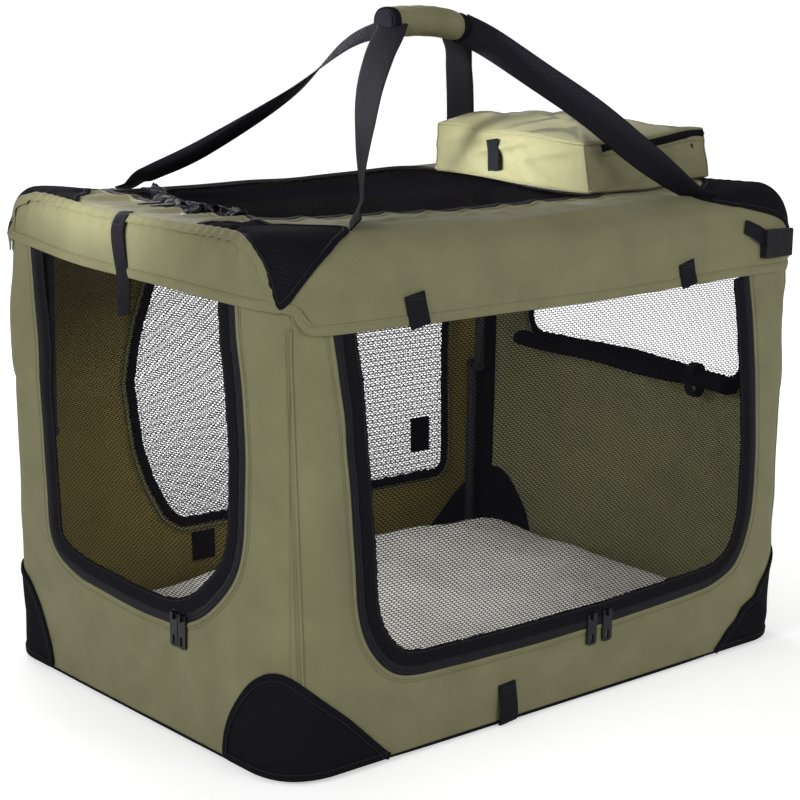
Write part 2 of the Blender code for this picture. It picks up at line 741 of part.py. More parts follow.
def nets():
    hinge_drop = DOOR_CLEARANCE + NET_THICKNESS / 2
    front_top = FRONT_SEAM - hinge_drop
    end_top = END_SEAM - hinge_drop
    front = net_part("front_door", front_door_outline(0, front_top), "Y", DOOR_Y, 10, 5)
    end = net_part("left_end_door", end_door_outline(0, end_top), "X", DOOR_X, 6, 5)
    hatch = net_part("top_hatch", hatch_outline(0), "Z", HATCH_Z, 8, 5)
    window_y = HALF_Y - WALL - GAP - NET_THICKNESS / 2
    net_part("back_window_net", back_window_outline(WINDOW_LAP), "Y", window_y, 9, 5)
    carry(joint_point("front_door_axis", (0, DOOR_Y, front_top)), front)
    carry(joint_point("left_end_door_axis", (DOOR_X, 0, end_top)), end)
    carry(joint_point("top_hatch_axis", (HATCH_RIGHT - NET_THICKNESS / 2, 0, HATCH_Z)), hatch)


def open_end_window():
    """The net of the right window, rolled down inside the wall and held by a tie."""
    roll = plate_mesh(
        "right_window_roll",
        [ellipse(ROLL_X, ROLL_Z, ROLL_HALF_DEPTH, ROLL_HALF_HEIGHT)],
        "Y",
        -ROLL_HALF_LENGTH,
        ROLL_HALF_LENGTH,
    )
    add_part("right_window_roll", shade_round(roll), NET)
    inner = ellipse(ROLL_X, ROLL_Z, ROLL_HALF_DEPTH + GAP, ROLL_HALF_HEIGHT + GAP)
    grow = GAP + TIE_THICKNESS
    outer = ellipse(ROLL_X, ROLL_Z, ROLL_HALF_DEPTH + grow, ROLL_HALF_HEIGHT + grow)
    low, high = TIE_Y - TIE_WIDTH / 2, TIE_Y + TIE_WIDTH / 2
    add_part("right_window_tie", plate_mesh("right_window_tie", [outer, inner], "Y", low, high), BLACK)


def corner_patches():
    """Sewn patches: four wrap the top corners and four wrap the feet."""
    for side_x, end_name in ((-1, "left"), (1, "right")):
        for side_y, side_name in ((-1, "front"), (1, "back")):
            name = f"{side_name}_{end_name}_top_patch"
            skin = rolled_block(name, GAP + PATCH_THICKNESS, END_SEAM)
            patch = add_part(name, skin, BLACK)
            inside = rolled_block(name, GAP, END_SEAM - OVERRUN)
            boolean(patch, add_cutter(f"{name}_inside", inside), "DIFFERENCE")
            sizes = (TOP_PATCH_ALONG, TOP_PATCH_ACROSS, TOP_PATCH_DROP)
            wedge = corner_wedge(name, side_x, side_y, HEIGHT, *sizes, -1)
            boolean(patch, add_cutter(f"{name}_corner", wedge), "INTERSECT")

            name = f"{side_name}_{end_name}_foot_patch"
            outlines = [box_outline(GAP + PATCH_THICKNESS), box_outline(GAP)]
            patch = add_part(name, plate_mesh(name, outlines, "Z", GAP, FOOT_PATCH_HEIGHT), BLACK)
            sizes = (FOOT_PATCH_ALONG, FOOT_PATCH_ACROSS, FOOT_PATCH_RISE)
            wedge = corner_wedge(name, side_x, side_y, 0, *sizes, 1)
            boolean(patch, add_cutter(f"{name}_corner", wedge), "INTERSECT")


def floor_and_mat():
    add_part("floor_panel", plate_mesh("floor_panel", [box_outline(0)], "Z", 0, WALL), OLIVE)
    bm = bmesh.new()
    bmesh.ops.create_cube(bm, size=1)
    bmesh.ops.scale(bm, vec=(MAT_LENGTH, MAT_WIDTH, MAT_EDGE), verts=bm.verts)
    bmesh.ops.subdivide_edges(bm, edges=bm.edges, cuts=MAT_STEPS, use_grid_fill=True)
    for vert in bm.verts:
        share_x = 2 * vert.co.x / MAT_LENGTH
        share_y = 2 * vert.co.y / MAT_WIDTH
        crown = (1 - share_x**4) * (1 - share_y**4)
        if vert.co.z > 0:
            vert.co.z += MAT_CROWN * crown
        vert.co.x -= share_x * MAT_PULL_IN * (1 - share_y**2) * abs(share_x)
        vert.co.y -= share_y * MAT_PULL_IN * (1 - share_x**2) * abs(share_y)
        vert.co.z += WALL + GAP + MAT_EDGE / 2
    add_part("sleeping_mat", shade_round(mesh_from(bm, "sleeping_mat")), FLEECE)


# Pouch, straps and trim

def pouch():
    """A box pouch on the top, with a lid that lifts about its left edge."""
    outer = rectangle(POUCH_LEFT, -POUCH_FRONT, POUCH_RIGHT, POUCH_BACK, POUCH_CORNER)
    top = POUCH_Z + POUCH_HEIGHT
    body = add_part("pouch_body", plate_mesh("pouch_body", [outer], "Z", POUCH_Z, top), OLIVE)
    hollow = rectangle(
        POUCH_LEFT + WALL, -POUCH_FRONT + WALL, POUCH_RIGHT - WALL, POUCH_BACK - WALL, POUCH_CORNER - WALL
    )
    cutter = plate_mesh("pouch_hollow", [hollow], "Z", POUCH_Z + WALL, top + OVERRUN)
    boolean(body, add_cutter("pouch_hollow", cutter), "DIFFERENCE")

    lid = add_part("pouch_lid", plate_mesh("pouch_lid", [outer], "Z", LID_Z, LID_Z + LID_THICKNESS), OLIVE)
    bevel = lid.modifiers.new("crown", "BEVEL")
    bevel.width = LID_CROWN
    bevel.segments = BEVEL_STEPS
    bevel.angle_limit = BEVEL_ANGLE
    carry(joint_point("pouch_lid_axis", (POUCH_LEFT, 0, LID_Z)), lid)

    middle = POUCH_Z + POUCH_HEIGHT / 2
    low = (POUCH_LEFT - GAP - TAB_THICKNESS, TAB_Y - TAB_WIDTH / 2, middle - TAB_LENGTH / 2)
    high = (POUCH_LEFT - GAP, TAB_Y + TAB_WIDTH / 2, middle + TAB_LENGTH / 2)
    add_part("pouch_tab", box_mesh("pouch_tab", low, high), BLACK)


def ribbon_mesh(name, stations):
    """A flat strap through stations of (place, width, direction of its width), lofted between them."""
    bm = bmesh.new()
    rings = []
    for index, (place, width, across) in enumerate(stations):
        before = stations[max(index - 1, 0)][0]
        after = stations[min(index + 1, len(stations) - 1)][0]
        run = (after - before).normalized()
        across = (across - run * across.dot(run)).normalized()
        half = across * width / 2
        lift = run.cross(across) * STRAP_THICKNESS / 2
        corners = (half + lift, half - lift, -half - lift, -half + lift)
        rings.append([bm.verts.new(place + corner) for corner in corners])
    for ring, following in zip(rings, rings[1:]):
        for side in range(4):
            near = (side + 1) % 4
            bm.faces.new((ring[side], ring[near], following[near], following[side]))
    bm.faces.new(rings[0])
    bm.faces.new(reversed(rings[-1]))
    return mesh_from(bm, name)


def strap_run(side, end, level):
    """Half of a carry strap, from where it is sewn on the rolled edge to where it enters the grip."""
    flat = Vector((0, 1, 0))
    seat = Vector((0, math.cos(STRAP_SEAT_TURN), -side * math.sin(STRAP_SEAT_TURN)))
    edge = Vector((0, 0, 1))
    sewn = Vector((end * (HALF_X - STRAP_END_INSET), side * STRAP_SEAT_Y, STRAP_SEAT_Z))
    lift = sewn + Vector((-end * STRAP_SEWN, 0, STRAP_RISE))
    bend = Vector((
        end * (HALF_X - STRAP_BEND_INSET_X),
        side * (HALF_Y - STRAP_BEND_INSET_Y),
        HEIGHT + STRAP_BEND_RISE,
    ))
    mouth = Vector((GRIP_X + end * (GRIP_LENGTH / 2 + GRIP_MOUTH), 0, level))
    near = mouth.lerp(bend, STRAP_FLAT_SHARE)
    keys = (
        (sewn, STRAP_WIDTH, seat),
        (lift, STRAP_WIDTH, seat),
        (bend, STRAP_WIDTH, edge),
        (near, STRAP_IN_GRIP, flat),
        (mouth, STRAP_IN_GRIP, flat),
    )
    stations = [keys[0]]
    for (start, wide, turned), (stop, wide_next, turned_next) in zip(keys, keys[1:]):
        steps = 1 if turned == turned_next else STRAP_STEPS
        for step in range(1, steps + 1):
            share = step / steps
            place = start.lerp(stop, share)
            width = wide + (wide_next - wide) * share
            stations.append((place, width, turned.lerp(turned_next, share)))
    return stations


def carry_straps():
    """Two long straps, sewn to the top corners, that cross through the padded grip."""
    for name, side in (("front_carry_strap", -1), ("back_carry_strap", 1)):
        level = GRIP_Z + side * STRAP_STACK
        left = strap_run(side, -1, level)
        right = strap_run(side, 1, level)
        add_part(name, ribbon_mesh(name, left + right[::-1]), BLACK)

    half = GRIP_LENGTH / 2
    outline = ellipse(0, GRIP_Z, GRIP_WIDTH / 2, GRIP_HEIGHT / 2, GRIP_SIDES)
    mesh = plate_mesh("grip", [outline], "X", GRIP_X - half, GRIP_X + half)
    grip = add_part("grip", shade_round(mesh), OLIVE)
    bevel = grip.modifiers.new("soft ends", "BEVEL")
    bevel.width = GRIP_EDGE
    bevel.segments = BEVEL_STEPS
    bevel.angle_limit = BEVEL_ANGLE
    slot_height = STRAP_STACK + STRAP_THICKNESS / 2 + GAP
    low = (GRIP_X - half - OVERRUN, -STRAP_IN_GRIP / 2 - GAP, GRIP_Z - slot_height)
    high = (GRIP_X + half + OVERRUN, STRAP_IN_GRIP / 2 + GAP, GRIP_Z + slot_height)
    boolean(grip, add_cutter("grip_slot", box_mesh("grip_slot", low, high)), "DIFFERENCE")
    carry(joint_point("handle_axis", (GRIP_X, 0, GRIP_Z)), grip)


def trim():
    """Flat sewn straps on the outside, and the loop at the foot of the front."""
    face = -HALF_X - GAP
    low = (face - TRIM_THICKNESS, HANGER_Y - HANGER_WIDTH / 2, HEIGHT - HANGER_FOOT_DROP)
    high = (face, HANGER_Y + HANGER_WIDTH / 2, HEIGHT - HANGER_HEAD_DROP)
    add_part("left_hanging_strap", box_mesh("left_hanging_strap", low, high), BLACK)
    face = -HALF_Y - GAP
    left_x, right_x = TOGGLE_LEFT_INSET - HALF_X, HALF_X - TOGGLE_RIGHT_INSET
    for name, x in (("left_toggle_tab", left_x), ("right_toggle_tab", right_x)):
        low = (x - TOGGLE_WIDTH / 2, face - TRIM_THICKNESS, HEIGHT - TOGGLE_FOOT_DROP)
        high = (x + TOGGLE_WIDTH / 2, face, HEIGHT - TOGGLE_HEAD_DROP)
        add_part(name, box_mesh(name, low, high), BLACK)
    depth = LOOP_SLOT + 2 * TRIM_THICKNESS
    outer = rectangle(face - depth, GAP, face, LOOP_TOP, LOOP_CORNER)
    slot_face = face - TRIM_THICKNESS
    slot = rectangle(slot_face - LOOP_SLOT, LOOP_SLOT_BOTTOM, slot_face, LOOP_SLOT_TOP, SLOT_CORNER)
    ends = (LOOP_X - LOOP_WIDTH / 2, LOOP_X + LOOP_WIDTH / 2)
    add_part("front_ground_loop", plate_mesh("front_ground_loop", [outer, slot], "X", *ends), BLACK)


def buckle():
    """A side-release buckle on the front skirt, whose plug slides out along X."""
    face = -HALF_Y - GAP
    left, foot = HALF_X - BUCKLE_INSET, HEIGHT - BUCKLE_DROP
    socket_end = left + BUCKLE_SOCKET_LENGTH
    top = foot + BUCKLE_HEIGHT
    socket = box_mesh("buckle_socket", (left, face - BUCKLE_DEPTH, foot), (socket_end, face, top))
    socket = add_part("buckle_socket", socket, PLASTIC)
    bevel = socket.modifiers.new("soft edges", "BEVEL")
    bevel.width = BUCKLE_EDGE
    bevel.segments = BEVEL_STEPS
    middle_y, middle_z = face - BUCKLE_DEPTH / 2, foot + BUCKLE_HEIGHT / 2
    half = Vector((0, TONGUE_DEPTH / 2, TONGUE_HEIGHT / 2))
    root = Vector((socket_end, middle_y, middle_z))
    slack = Vector((0, GAP, GAP))
    low = root - half - slack - Vector((TONGUE_LENGTH + GAP, 0, 0))
    high = root + half + slack + Vector((OVERRUN, 0, 0))
    boolean(socket, add_cutter("tongue_room", box_mesh("tongue_room", low, high)), "DIFFERENCE")

    plug_depth = BUCKLE_DEPTH / 2 - TRIM_THICKNESS - GAP
    low = (socket_end + GAP, middle_y - plug_depth, foot)
    high = (socket_end + GAP + BUCKLE_PLUG_LENGTH, middle_y + plug_depth, top)
    plug = add_part("buckle_plug", box_mesh("buckle_plug", low, high), PLASTIC)
    bevel = plug.modifiers.new("soft edges", "BEVEL")
    bevel.width = BUCKLE_EDGE
    bevel.segments = BEVEL_STEPS
    reach = Vector((BUCKLE_PLUG_LENGTH / 2, 0, 0))
    tongue = box_mesh("tongue", root - half - Vector((TONGUE_LENGTH, 0, 0)), root + half + reach)
    boolean(plug, add_cutter("tongue", tongue), "UNION")
    carry(joint_point("buckle_axis", root), plug)


# Zip sliders, each with a hinged pull

def slider_and_pull(name, place, out, down):
    """A slider on a surface and its pull, set by the way that the surface faces and the pull hangs."""
    place, out, down = Vector(place), Vector(out), Vector(down)
    along = down.cross(out)
    turn = Matrix((along, down, out)).transposed().to_4x4()
    frame = Matrix.Translation(place) @ turn

    half = SLIDER_SIZE / 2
    base = box_mesh(name, (-half, -half, GAP), (half, half, SLIDER_BASE))
    base.transform(frame)
    slider = add_part(f"{name}_slider", base, PLASTIC)
    level = SLIDER_BASE + STAPLE_GAP
    outer = rectangle(-STAPLE_HALF, SLIDER_BASE - STAPLE_BAR, STAPLE_HALF, level + STAPLE_BAR)
    inset = STAPLE_HALF - STAPLE_BAR
    arch_root = SLIDER_BASE - 2 * STAPLE_BAR
    inner = rectangle(-inset, arch_root, inset, level)
    staple = plate_mesh(name, [outer], "X", -STAPLE_WIDTH / 2, STAPLE_WIDTH / 2)
    staple_part = add_cutter(f"{name}_staple", staple)
    room = plate_mesh(name, [inner], "X", -STAPLE_WIDTH, STAPLE_WIDTH)
    room_part = add_cutter(f"{name}_staple_room", room)
    boolean(staple_part, room_part, "DIFFERENCE")
    for cutter in (staple_part, room_part):
        cutter.data.transform(frame)
    boolean(slider, staple_part, "UNION")

    crossbar = PULL_THICKNESS
    outline = rounded([
        (-PULL_WIDTH / 2, -crossbar / 2, 0),
        (PULL_WIDTH / 2, -crossbar / 2, 0),
        (PULL_WIDTH / 2, PULL_LENGTH, PULL_CORNER),
        (-PULL_WIDTH / 2, PULL_LENGTH, PULL_CORNER),
    ])
    window = rectangle(
        -PULL_WINDOW / 2, crossbar / 2, PULL_WINDOW / 2, crossbar / 2 + PULL_WINDOW_LENGTH
    )
    foot = PULL_LENGTH - PULL_SLOT
    slot = rectangle(-PULL_SLOT / 2, foot - PULL_SLOT_LENGTH, PULL_SLOT / 2, foot)
    half = PULL_THICKNESS / 2
    plate = plate_mesh(name, [outline, window, slot], "Z", PULL_LEVEL - half, PULL_LEVEL + half)
    plate.transform(frame)
    pull = add_part(f"{name}_pull", plate, PLASTIC)
    axis = joint_point(f"{name}_pull_axis", place + out * PULL_LEVEL)
    carry(axis, pull)


def zips():
    front_y, left_x, top_z = -HALF_Y, -HALF_X, HEIGHT
    pouch_place = (POUCH_RIGHT - POUCH_SLIDER_INSET, -POUCH_FRONT, LID_Z - GAP - SLIDER_SIZE)
    end_1_y = END_SLIDER_INSET - HALF_Y
    end_2_y = end_1_y - END_SLIDER_PITCH
    hatch_2_y = HATCH_SLIDER_Y + SLIDER_PITCH
    front, left, up, down = (0, -1, 0), (-1, 0, 0), (0, 0, 1), (0, 0, -1)
    places = (
        ("front_zip_1", (FRONT_SLIDER_X, front_y, FRONT_ZIP_Z), front, down),
        ("front_zip_2", (FRONT_SLIDER_X + SLIDER_PITCH, front_y, FRONT_ZIP_Z), front, down),
        ("end_zip_1", (left_x, end_1_y, END_ZIP_Z), left, down),
        ("end_zip_2", (left_x, end_2_y, END_ZIP_Z), left, down),
        ("hatch_zip_1", (HATCH_ZIP_X, HATCH_SLIDER_Y, top_z), up, left),
        ("hatch_zip_2", (HATCH_ZIP_X, hatch_2_y, top_z), up, left),
        ("pouch_zip", pouch_place, front, down),
    )
    for name, place, out, hang in places:
        slider_and_pull(name, place, out, hang)


floor_and_mat()
folding_frame()
long_walls()
end_walls()
top_cover()
nets()
open_end_window()
corner_patches()
pouch()
carry_straps()
trim()
buckle()
zips()
bpy.context.view_layer.update()
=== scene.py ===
# %% [markdown]
# # A soft folding crate for a dog
# The real object is a bag of polyester cloth and black net, kept open by two steel rings that
# stand on folding legs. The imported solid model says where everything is. This lesson dresses it:
# each cloth, net, tape and strap is made as its own piece, laid over the solid that it stands for.

# %% Load the solid model and keep its box
import math
import bpy
import numpy as np
from mathutils import Matrix, Vector
from mathutils.bvhtree import BVHTree


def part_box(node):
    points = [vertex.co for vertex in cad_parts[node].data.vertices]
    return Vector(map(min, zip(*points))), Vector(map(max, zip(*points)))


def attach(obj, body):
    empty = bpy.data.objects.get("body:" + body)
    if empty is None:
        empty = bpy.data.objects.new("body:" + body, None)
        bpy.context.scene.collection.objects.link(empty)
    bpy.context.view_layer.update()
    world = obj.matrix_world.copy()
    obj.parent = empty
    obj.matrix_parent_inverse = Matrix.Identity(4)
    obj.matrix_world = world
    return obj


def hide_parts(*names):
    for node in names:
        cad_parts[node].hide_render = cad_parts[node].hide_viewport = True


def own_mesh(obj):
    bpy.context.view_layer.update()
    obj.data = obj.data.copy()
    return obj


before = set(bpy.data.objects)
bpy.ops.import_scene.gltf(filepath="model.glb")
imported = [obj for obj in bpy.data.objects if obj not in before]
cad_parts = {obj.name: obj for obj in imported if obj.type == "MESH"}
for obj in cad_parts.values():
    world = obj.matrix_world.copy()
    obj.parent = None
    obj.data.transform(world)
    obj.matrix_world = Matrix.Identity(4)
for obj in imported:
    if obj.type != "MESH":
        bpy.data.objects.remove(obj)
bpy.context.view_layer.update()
MM = 0.001
HALF_X, HALF_Y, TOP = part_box("top_cover")[1]
FRONT_HEM, END_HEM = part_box("front_wall")[1].z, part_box("left_end_wall")[1].z
FLOOR_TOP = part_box("floor_panel")[1].z
# radii of the upright corners and of the roof's long and short edges, then three thicknesses
CORNER, SIDE_ROLL, END_ROLL = 65 * MM, 60 * MM, 25 * MM
CLOTH, CANVAS, TAPE = 1.2 * MM, 1.0 * MM, 0.9 * MM
print("cloth box", round(2 * HALF_X, 3), round(2 * HALF_Y, 3), round(TOP, 3))

# %% [markdown]
# The camera stands at the front left corner, a little above the top. Its place was worked out from
# the photograph by fitting the box's corners and hems, and it turns a little about its own axis.

# %% Camera
FOCUS, AZIMUTH, PITCH, ROLL = 1885, math.radians(-40.83), math.radians(11.90), math.radians(0.79)
CAMERA_PLACE, PICTURE_WIDTH, SENSOR_WIDTH = (-1.52682, -1.75376, 0.80838), 800, 36
back = Vector((math.sin(AZIMUTH) * math.cos(PITCH), -math.cos(AZIMUTH) * math.cos(PITCH), math.sin(PITCH)))
level = Vector((0, 0, 1)).cross(back).normalized()
rise = back.cross(level)
right = level * math.cos(ROLL) + rise * math.sin(ROLL)
up = rise * math.cos(ROLL) - level * math.sin(ROLL)
bpy.ops.object.select_all(action="DESELECT")
bpy.ops.object.camera_add()
camera = bpy.context.object
camera.name = "camera"
turn = Matrix((right, up, back)).transposed().to_4x4()
camera.matrix_world = Matrix.Translation(CAMERA_PLACE) @ turn
camera.data.sensor_width = SENSOR_WIDTH
camera.data.lens = FOCUS * SENSOR_WIDTH / PICTURE_WIDTH
bpy.context.scene.camera = camera
VIEW = -back
print("lens", round(camera.data.lens, 1), "mm")

# %% [markdown]
# ## Materials
# A colour is written as the hex value that the eye sees, and one function turns it to the linear
# numbers that the shader needs. One more adds a node with its values and links.

# %% Colour and node helpers
def linear(code):
    parts = [int(code[i:i + 2], 16) / 255 for i in (1, 3, 5)]
    return tuple(p / 12.92 if p <= 0.04045 else ((p + 0.055) / 1.055) ** 2.4 for p in parts) + (1.0,)


def add(tree, kind, values=None, links=None, **settings):
    node = tree.nodes.new(kind)
    for key, value in settings.items():
        setattr(node, key, value)
    for key, value in (values or {}).items():
        node.inputs[key].default_value = value
    for key, socket in (links or {}).items():
        tree.links.new(socket, node.inputs[key])
    return node


def start(name, roughness, ior=1.5, **sockets):
    material = bpy.data.materials.new(name)
    material.use_nodes = True
    tree = material.node_tree
    tree.nodes.clear()
    shader = add(tree, "ShaderNodeBsdfPrincipled", {"Roughness": roughness, "IOR": ior})
    for key, value in sockets.items():
        shader.inputs[key.replace("_", " ")].default_value = value
    add(tree, "ShaderNodeOutputMaterial", links={"Surface": shader.outputs[0]})
    return material, tree, shader


def object_place(tree):
    return add(tree, "ShaderNodeTexCoord").outputs["Object"]


print("mid grey #808080 is", round(linear("#808080")[0], 3), "in linear light")

# %% [markdown]
# A finish is built from four things: soft blotches, two tones that the blotches mix, small bumps, and
# for cloth the crossing threads of its weave. Procedural noise is used, so there are no image files.

# %% Blotches, tones, bumps and threads
def blotches(tree, place, size, detail=2.0):
    """Soft cloud-like variation with patches of the given size in metres."""
    return add(tree, "ShaderNodeTexNoise", {"Scale": 1 / size, "Detail": detail, "Roughness": 0.55},
               {"Vector": place}).outputs[0]


def two_tones(tree, shader, dark, light, factor, low=0.35, high=0.65):
    ramp = add(tree, "ShaderNodeMapRange", {"From Min": low, "From Max": high}, {"Value": factor})
    tones = add(tree, "ShaderNodeMix", {6: linear(dark), 7: linear(light)}, {0: ramp.outputs[0]},
                data_type="RGBA")
    tree.links.new(tones.outputs[2], shader.inputs["Base Color"])
    return tones


def bumps(tree, shader, height, depth, strength=1.0):
    bump = add(tree, "ShaderNodeBump", {"Strength": strength, "Distance": depth}, {"Height": height})
    tree.links.new(bump.outputs[0], shader.inputs["Normal"])
    return bump


def threads(tree, place, pitch, distortion=0.6):
    """Crossing threads: the higher of two sets of bands. A band's pitch is 2 pi / 20 / scale."""
    sets = [add(tree, "ShaderNodeTexWave", {"Scale": math.tau / 20 / pitch, "Distortion": distortion,
                                            "Detail": 1.0, "Detail Scale": 2.0},
                {"Vector": place}, wave_type="BANDS", bands_direction=way).outputs[1] for way in ("X", "Y")]
    return add(tree, "ShaderNodeMath", links={0: sets[0], 1: sets[1]}, operation="MAXIMUM").outputs[0]


print("a weave of 2 mm needs a wave scale of", round(math.tau / 20 / (2 * MM)))

# %% [markdown]
# Polyester cloth is woven from fine filament yarn and has a soft sheen. The threads are 0.3 mm apart,
# too fine to show, so the weave is drawn at 1.6 mm. Its inside is coated and looks browner and duller.

# %% Woven polyester, outside and coated inside
def polyester(name, dark, light, sheen, weave):
    material, tree, shader = start(name, 0.62, Sheen_Weight=sheen, Sheen_Roughness=0.45)
    shader.inputs["Specular IOR Level"].default_value = 0.22
    place = add(tree, "ShaderNodeUVMap").outputs[0]
    body = object_place(tree)
    cloud = blotches(tree, body, 60 * MM)
    grain = blotches(tree, body, 2.5 * MM, 3.0)
    both = add(tree, "ShaderNodeMath", {1: 0.45}, {0: grain, 2: cloud}, operation="MULTIPLY_ADD")
    two_tones(tree, shader, dark, light, both.outputs[0], 0.42, 0.98)
    bumps(tree, shader, threads(tree, place, weave), 0.12 * MM, 0.6)
    return material


olive_cloth = polyester("woven_polyester_olive", "#6e6c4e", "#7d7b5b", 0.06, 1.6 * MM)
lining_cloth = polyester("coated_polyester_lining", "#7c7038", "#8a7d42", 0.0, 2.2 * MM)
green_lining = polyester("uncoated_polyester_lining", "#8a8964", "#99976f", 0.0, 2.2 * MM)
print("cloths:", [material.name for material in bpy.data.materials])

# %% [markdown]
# The black parts are heavier: a coarse canvas for the corners, a twilled webbing for the straps, a
# brushed knit tape round the nets and a flat woven tape that carries the zips.

# %% Black cloths
def black_cloth(name, dark, light, weave, depth, roughness, sheen, fuzz=0.0, shine=0.02):
    material, tree, shader = start(name, roughness, Sheen_Weight=sheen, Sheen_Roughness=0.6)
    shader.inputs["Specular IOR Level"].default_value = shine
    place = add(tree, "ShaderNodeUVMap").outputs[0]
    body = object_place(tree)
    weave_height = threads(tree, place, weave)
    fluff = blotches(tree, body, 1.6 * MM, 4.0)
    height = add(tree, "ShaderNodeMix", {0: fuzz}, {2: weave_height, 3: fluff}).outputs[0]
    two_tones(tree, shader, dark, light, height, 0.3, 0.8)
    bumps(tree, shader, height, depth)
    return material


canvas_black = black_cloth("oxford_canvas_black", "#101014", "#1b1b20", 1.8 * MM, 0.35 * MM, 0.75, 0.0)
webbing_black = black_cloth("twilled_webbing_black", "#0f0f13", "#212127", 2.0 * MM, 0.5 * MM, 0.62, 0.0,
                            shine=0.05)
knit_black = black_cloth("brushed_knit_tape_black", "#0b0b0f", "#1d1d22", 2.4 * MM, 0.8 * MM, 0.9, 0.02, 0.7)
zip_tape_black = black_cloth("woven_binding_tape_black", "#0d0d11", "#19191e", 1.5 * MM, 0.2 * MM, 0.6, 0.0)
coil_black = black_cloth("coated_zip_tape_black", "#0f0f14", "#1b1b22", 1.5 * MM, 0.3 * MM, 0.40, 0.0,
                         shine=0.16)
net_black = black_cloth("knitted_net_black", "#121216", "#1d1d22", 1.6 * MM, 0.2 * MM, 0.6, 0.0, shine=0.0)
print(len(bpy.data.materials), "cloths in all")

# %% [markdown]
# The hard parts: moulded nylon for the buckle and zip teeth, black lacquer on the cast sliders and
# pulls, and powder coating on the steel tube, which has a fine orange-peel surface.

# %% Hard finishes
def hard_finish(name, dark, light, roughness, grain, depth, **sockets):
    material, tree, shader = start(name, roughness, **sockets)
    body = object_place(tree)
    cloud = blotches(tree, body, 12 * MM)
    two_tones(tree, shader, dark, light, cloud)
    worn = add(tree, "ShaderNodeMapRange", {"From Min": 0.3, "From Max": 0.7, "To Min": roughness - 0.06,
                                            "To Max": roughness + 0.08}, {"Value": cloud})
    tree.links.new(worn.outputs[0], shader.inputs["Roughness"])
    bumps(tree, shader, blotches(tree, body, grain, 3.0), depth)
    return material


nylon_black = hard_finish("moulded_nylon_black", "#0f0f13", "#18181d", 0.45, 1.2 * MM, 0.05 * MM,
                          Specular_IOR_Level=0.2)
lacquer_black = hard_finish("lacquered_zinc_black", "#101014", "#1a1a1f", 0.32, 0.8 * MM, 0.03 * MM,
                            Coat_Weight=0.15, Specular_IOR_Level=0.25)
steel_grey = hard_finish("powder_coated_steel", "#26262a", "#303035", 0.45, 1.0 * MM, 0.06 * MM)
print("hard finishes:", nylon_black.name, lacquer_black.name, steel_grey.name)

# %% [markdown]
# The mat is a short-pile fleece. Its tufts are about 3 mm across and stand in soft drifts, which is what the
# broad noise gives. Its colour is lighter where the pile stands high: painted light on the drifts and painted
# shade between them. The pile scatters light, so it has sheen and no gloss.

# %% Fleece
fleece_cream, tree, shader = start("short_pile_fleece_cream", 0.95, Sheen_Weight=0.25, Sheen_Roughness=0.7)
shader.inputs["Specular IOR Level"].default_value = 0.1
body = object_place(tree)
tufts = blotches(tree, body, 4 * MM, 4.0)
drift_height_and_shade = blotches(tree, body, 70 * MM)
pile_height_and_shade = add(tree, "ShaderNodeMath", {1: 0.6}, {0: tufts, 2: drift_height_and_shade}, operation="MULTIPLY_ADD").outputs[0]
# tone from the pile's height: painted light on the drifts' crests and painted shade in their hollows
two_tones(tree, shader, "#dedad0", "#f7f5ef", pile_height_and_shade, 0.5, 1.05)
bumps(tree, shader, pile_height_and_shade, 3 * MM)
print(len(bpy.data.materials), "materials")

# %% [markdown]
# ## Ways over the box
# Cloth goes round soft upright corners and rolls over on to the top, so a place on it is given as on
# a cutting pattern: which face, how far along it, how high up the cloth, and how far proud of it.
# Each face knows its directions along, from left to right as seen from outside, and outwards, and
# the corners wrap on to the next face.

# %% Places on the cloth
FACES = {"front": ((1, 0), (0, -1), HALF_X, HALF_Y), "right": ((0, 1), (1, 0), HALF_Y, HALF_X),
         "back": ((-1, 0), (0, 1), HALF_X, HALF_Y), "left": ((0, -1), (-1, 0), HALF_Y, HALF_X)}
RING = tuple(FACES)
QUARTER = CORNER * math.pi / 2


def place_on(face, along, height, proud=0.0):
    """Points and outward directions for places on a face's cloth, with the corners and the roll."""
    along, height, proud = np.broadcast_arrays(np.asarray(along, float), height, proud)
    way, out, half, depth = FACES[face]
    straight = half - CORNER
    angle = np.clip(np.abs(along) - straight, 0, None) / CORNER
    past = np.clip(angle - math.pi / 2, 0, None) * CORNER
    angle = np.clip(angle, 0, math.pi / 2)
    side = np.sign(along)
    a = np.clip(along, -straight, straight) + side * CORNER * np.sin(angle)
    o = depth - CORNER + CORNER * np.cos(angle) - past
    na, no = side * np.sin(angle), np.cos(angle)
    flat = a[..., None] * np.array(way) + o[..., None] * np.array(out)
    outward = na[..., None] * np.array(way) + no[..., None] * np.array(out)
    roll = SIDE_ROLL * outward[..., 1] ** 2 + END_ROLL * outward[..., 0] ** 2
    bend = np.clip((height - (TOP - roll)) / roll, 0, None)
    inward = np.clip(bend - math.pi / 2, 0, None) * roll
    bend = np.clip(bend, 0, math.pi / 2)
    shrink = outward * np.array((END_ROLL, SIDE_ROLL)) * (1 - np.cos(bend))[..., None]
    shrink += outward * inward[..., None]
    z = np.where(height < TOP - roll, height, TOP - roll + roll * np.sin(bend))
    point = np.concatenate([flat - shrink, z[..., None]], -1)
    normal = np.concatenate([outward * np.cos(bend)[..., None], np.sin(bend)[..., None]], -1)
    return point + normal * proud[..., None], normal


def seam_along(face):
    """Where a face's cloth ends, at the seam in the middle of the upright corner."""
    return FACES[face][2] - CORNER + QUARTER / 2


print("seams at", [round(seam_along(f), 3) for f in FACES])

# %% [markdown]
# Loose cloth is never flat. One field of small moves, worked out from where a point is, is shared by
# all that is sewn together, so that cloth, tapes and stitches stay on each other. It adds long folds
# along given lines, a soft ripple, and the gathers that a seam pulls into the cloth next to it.

# %% Ripples and folds
rng = np.random.default_rng(7)
RIPPLES = [(rng.normal(size=3), rng.uniform(0, math.tau), length) for length in
           (0.31, 0.24, 0.19, 0.15, 0.12, 0.10, 0.085)]
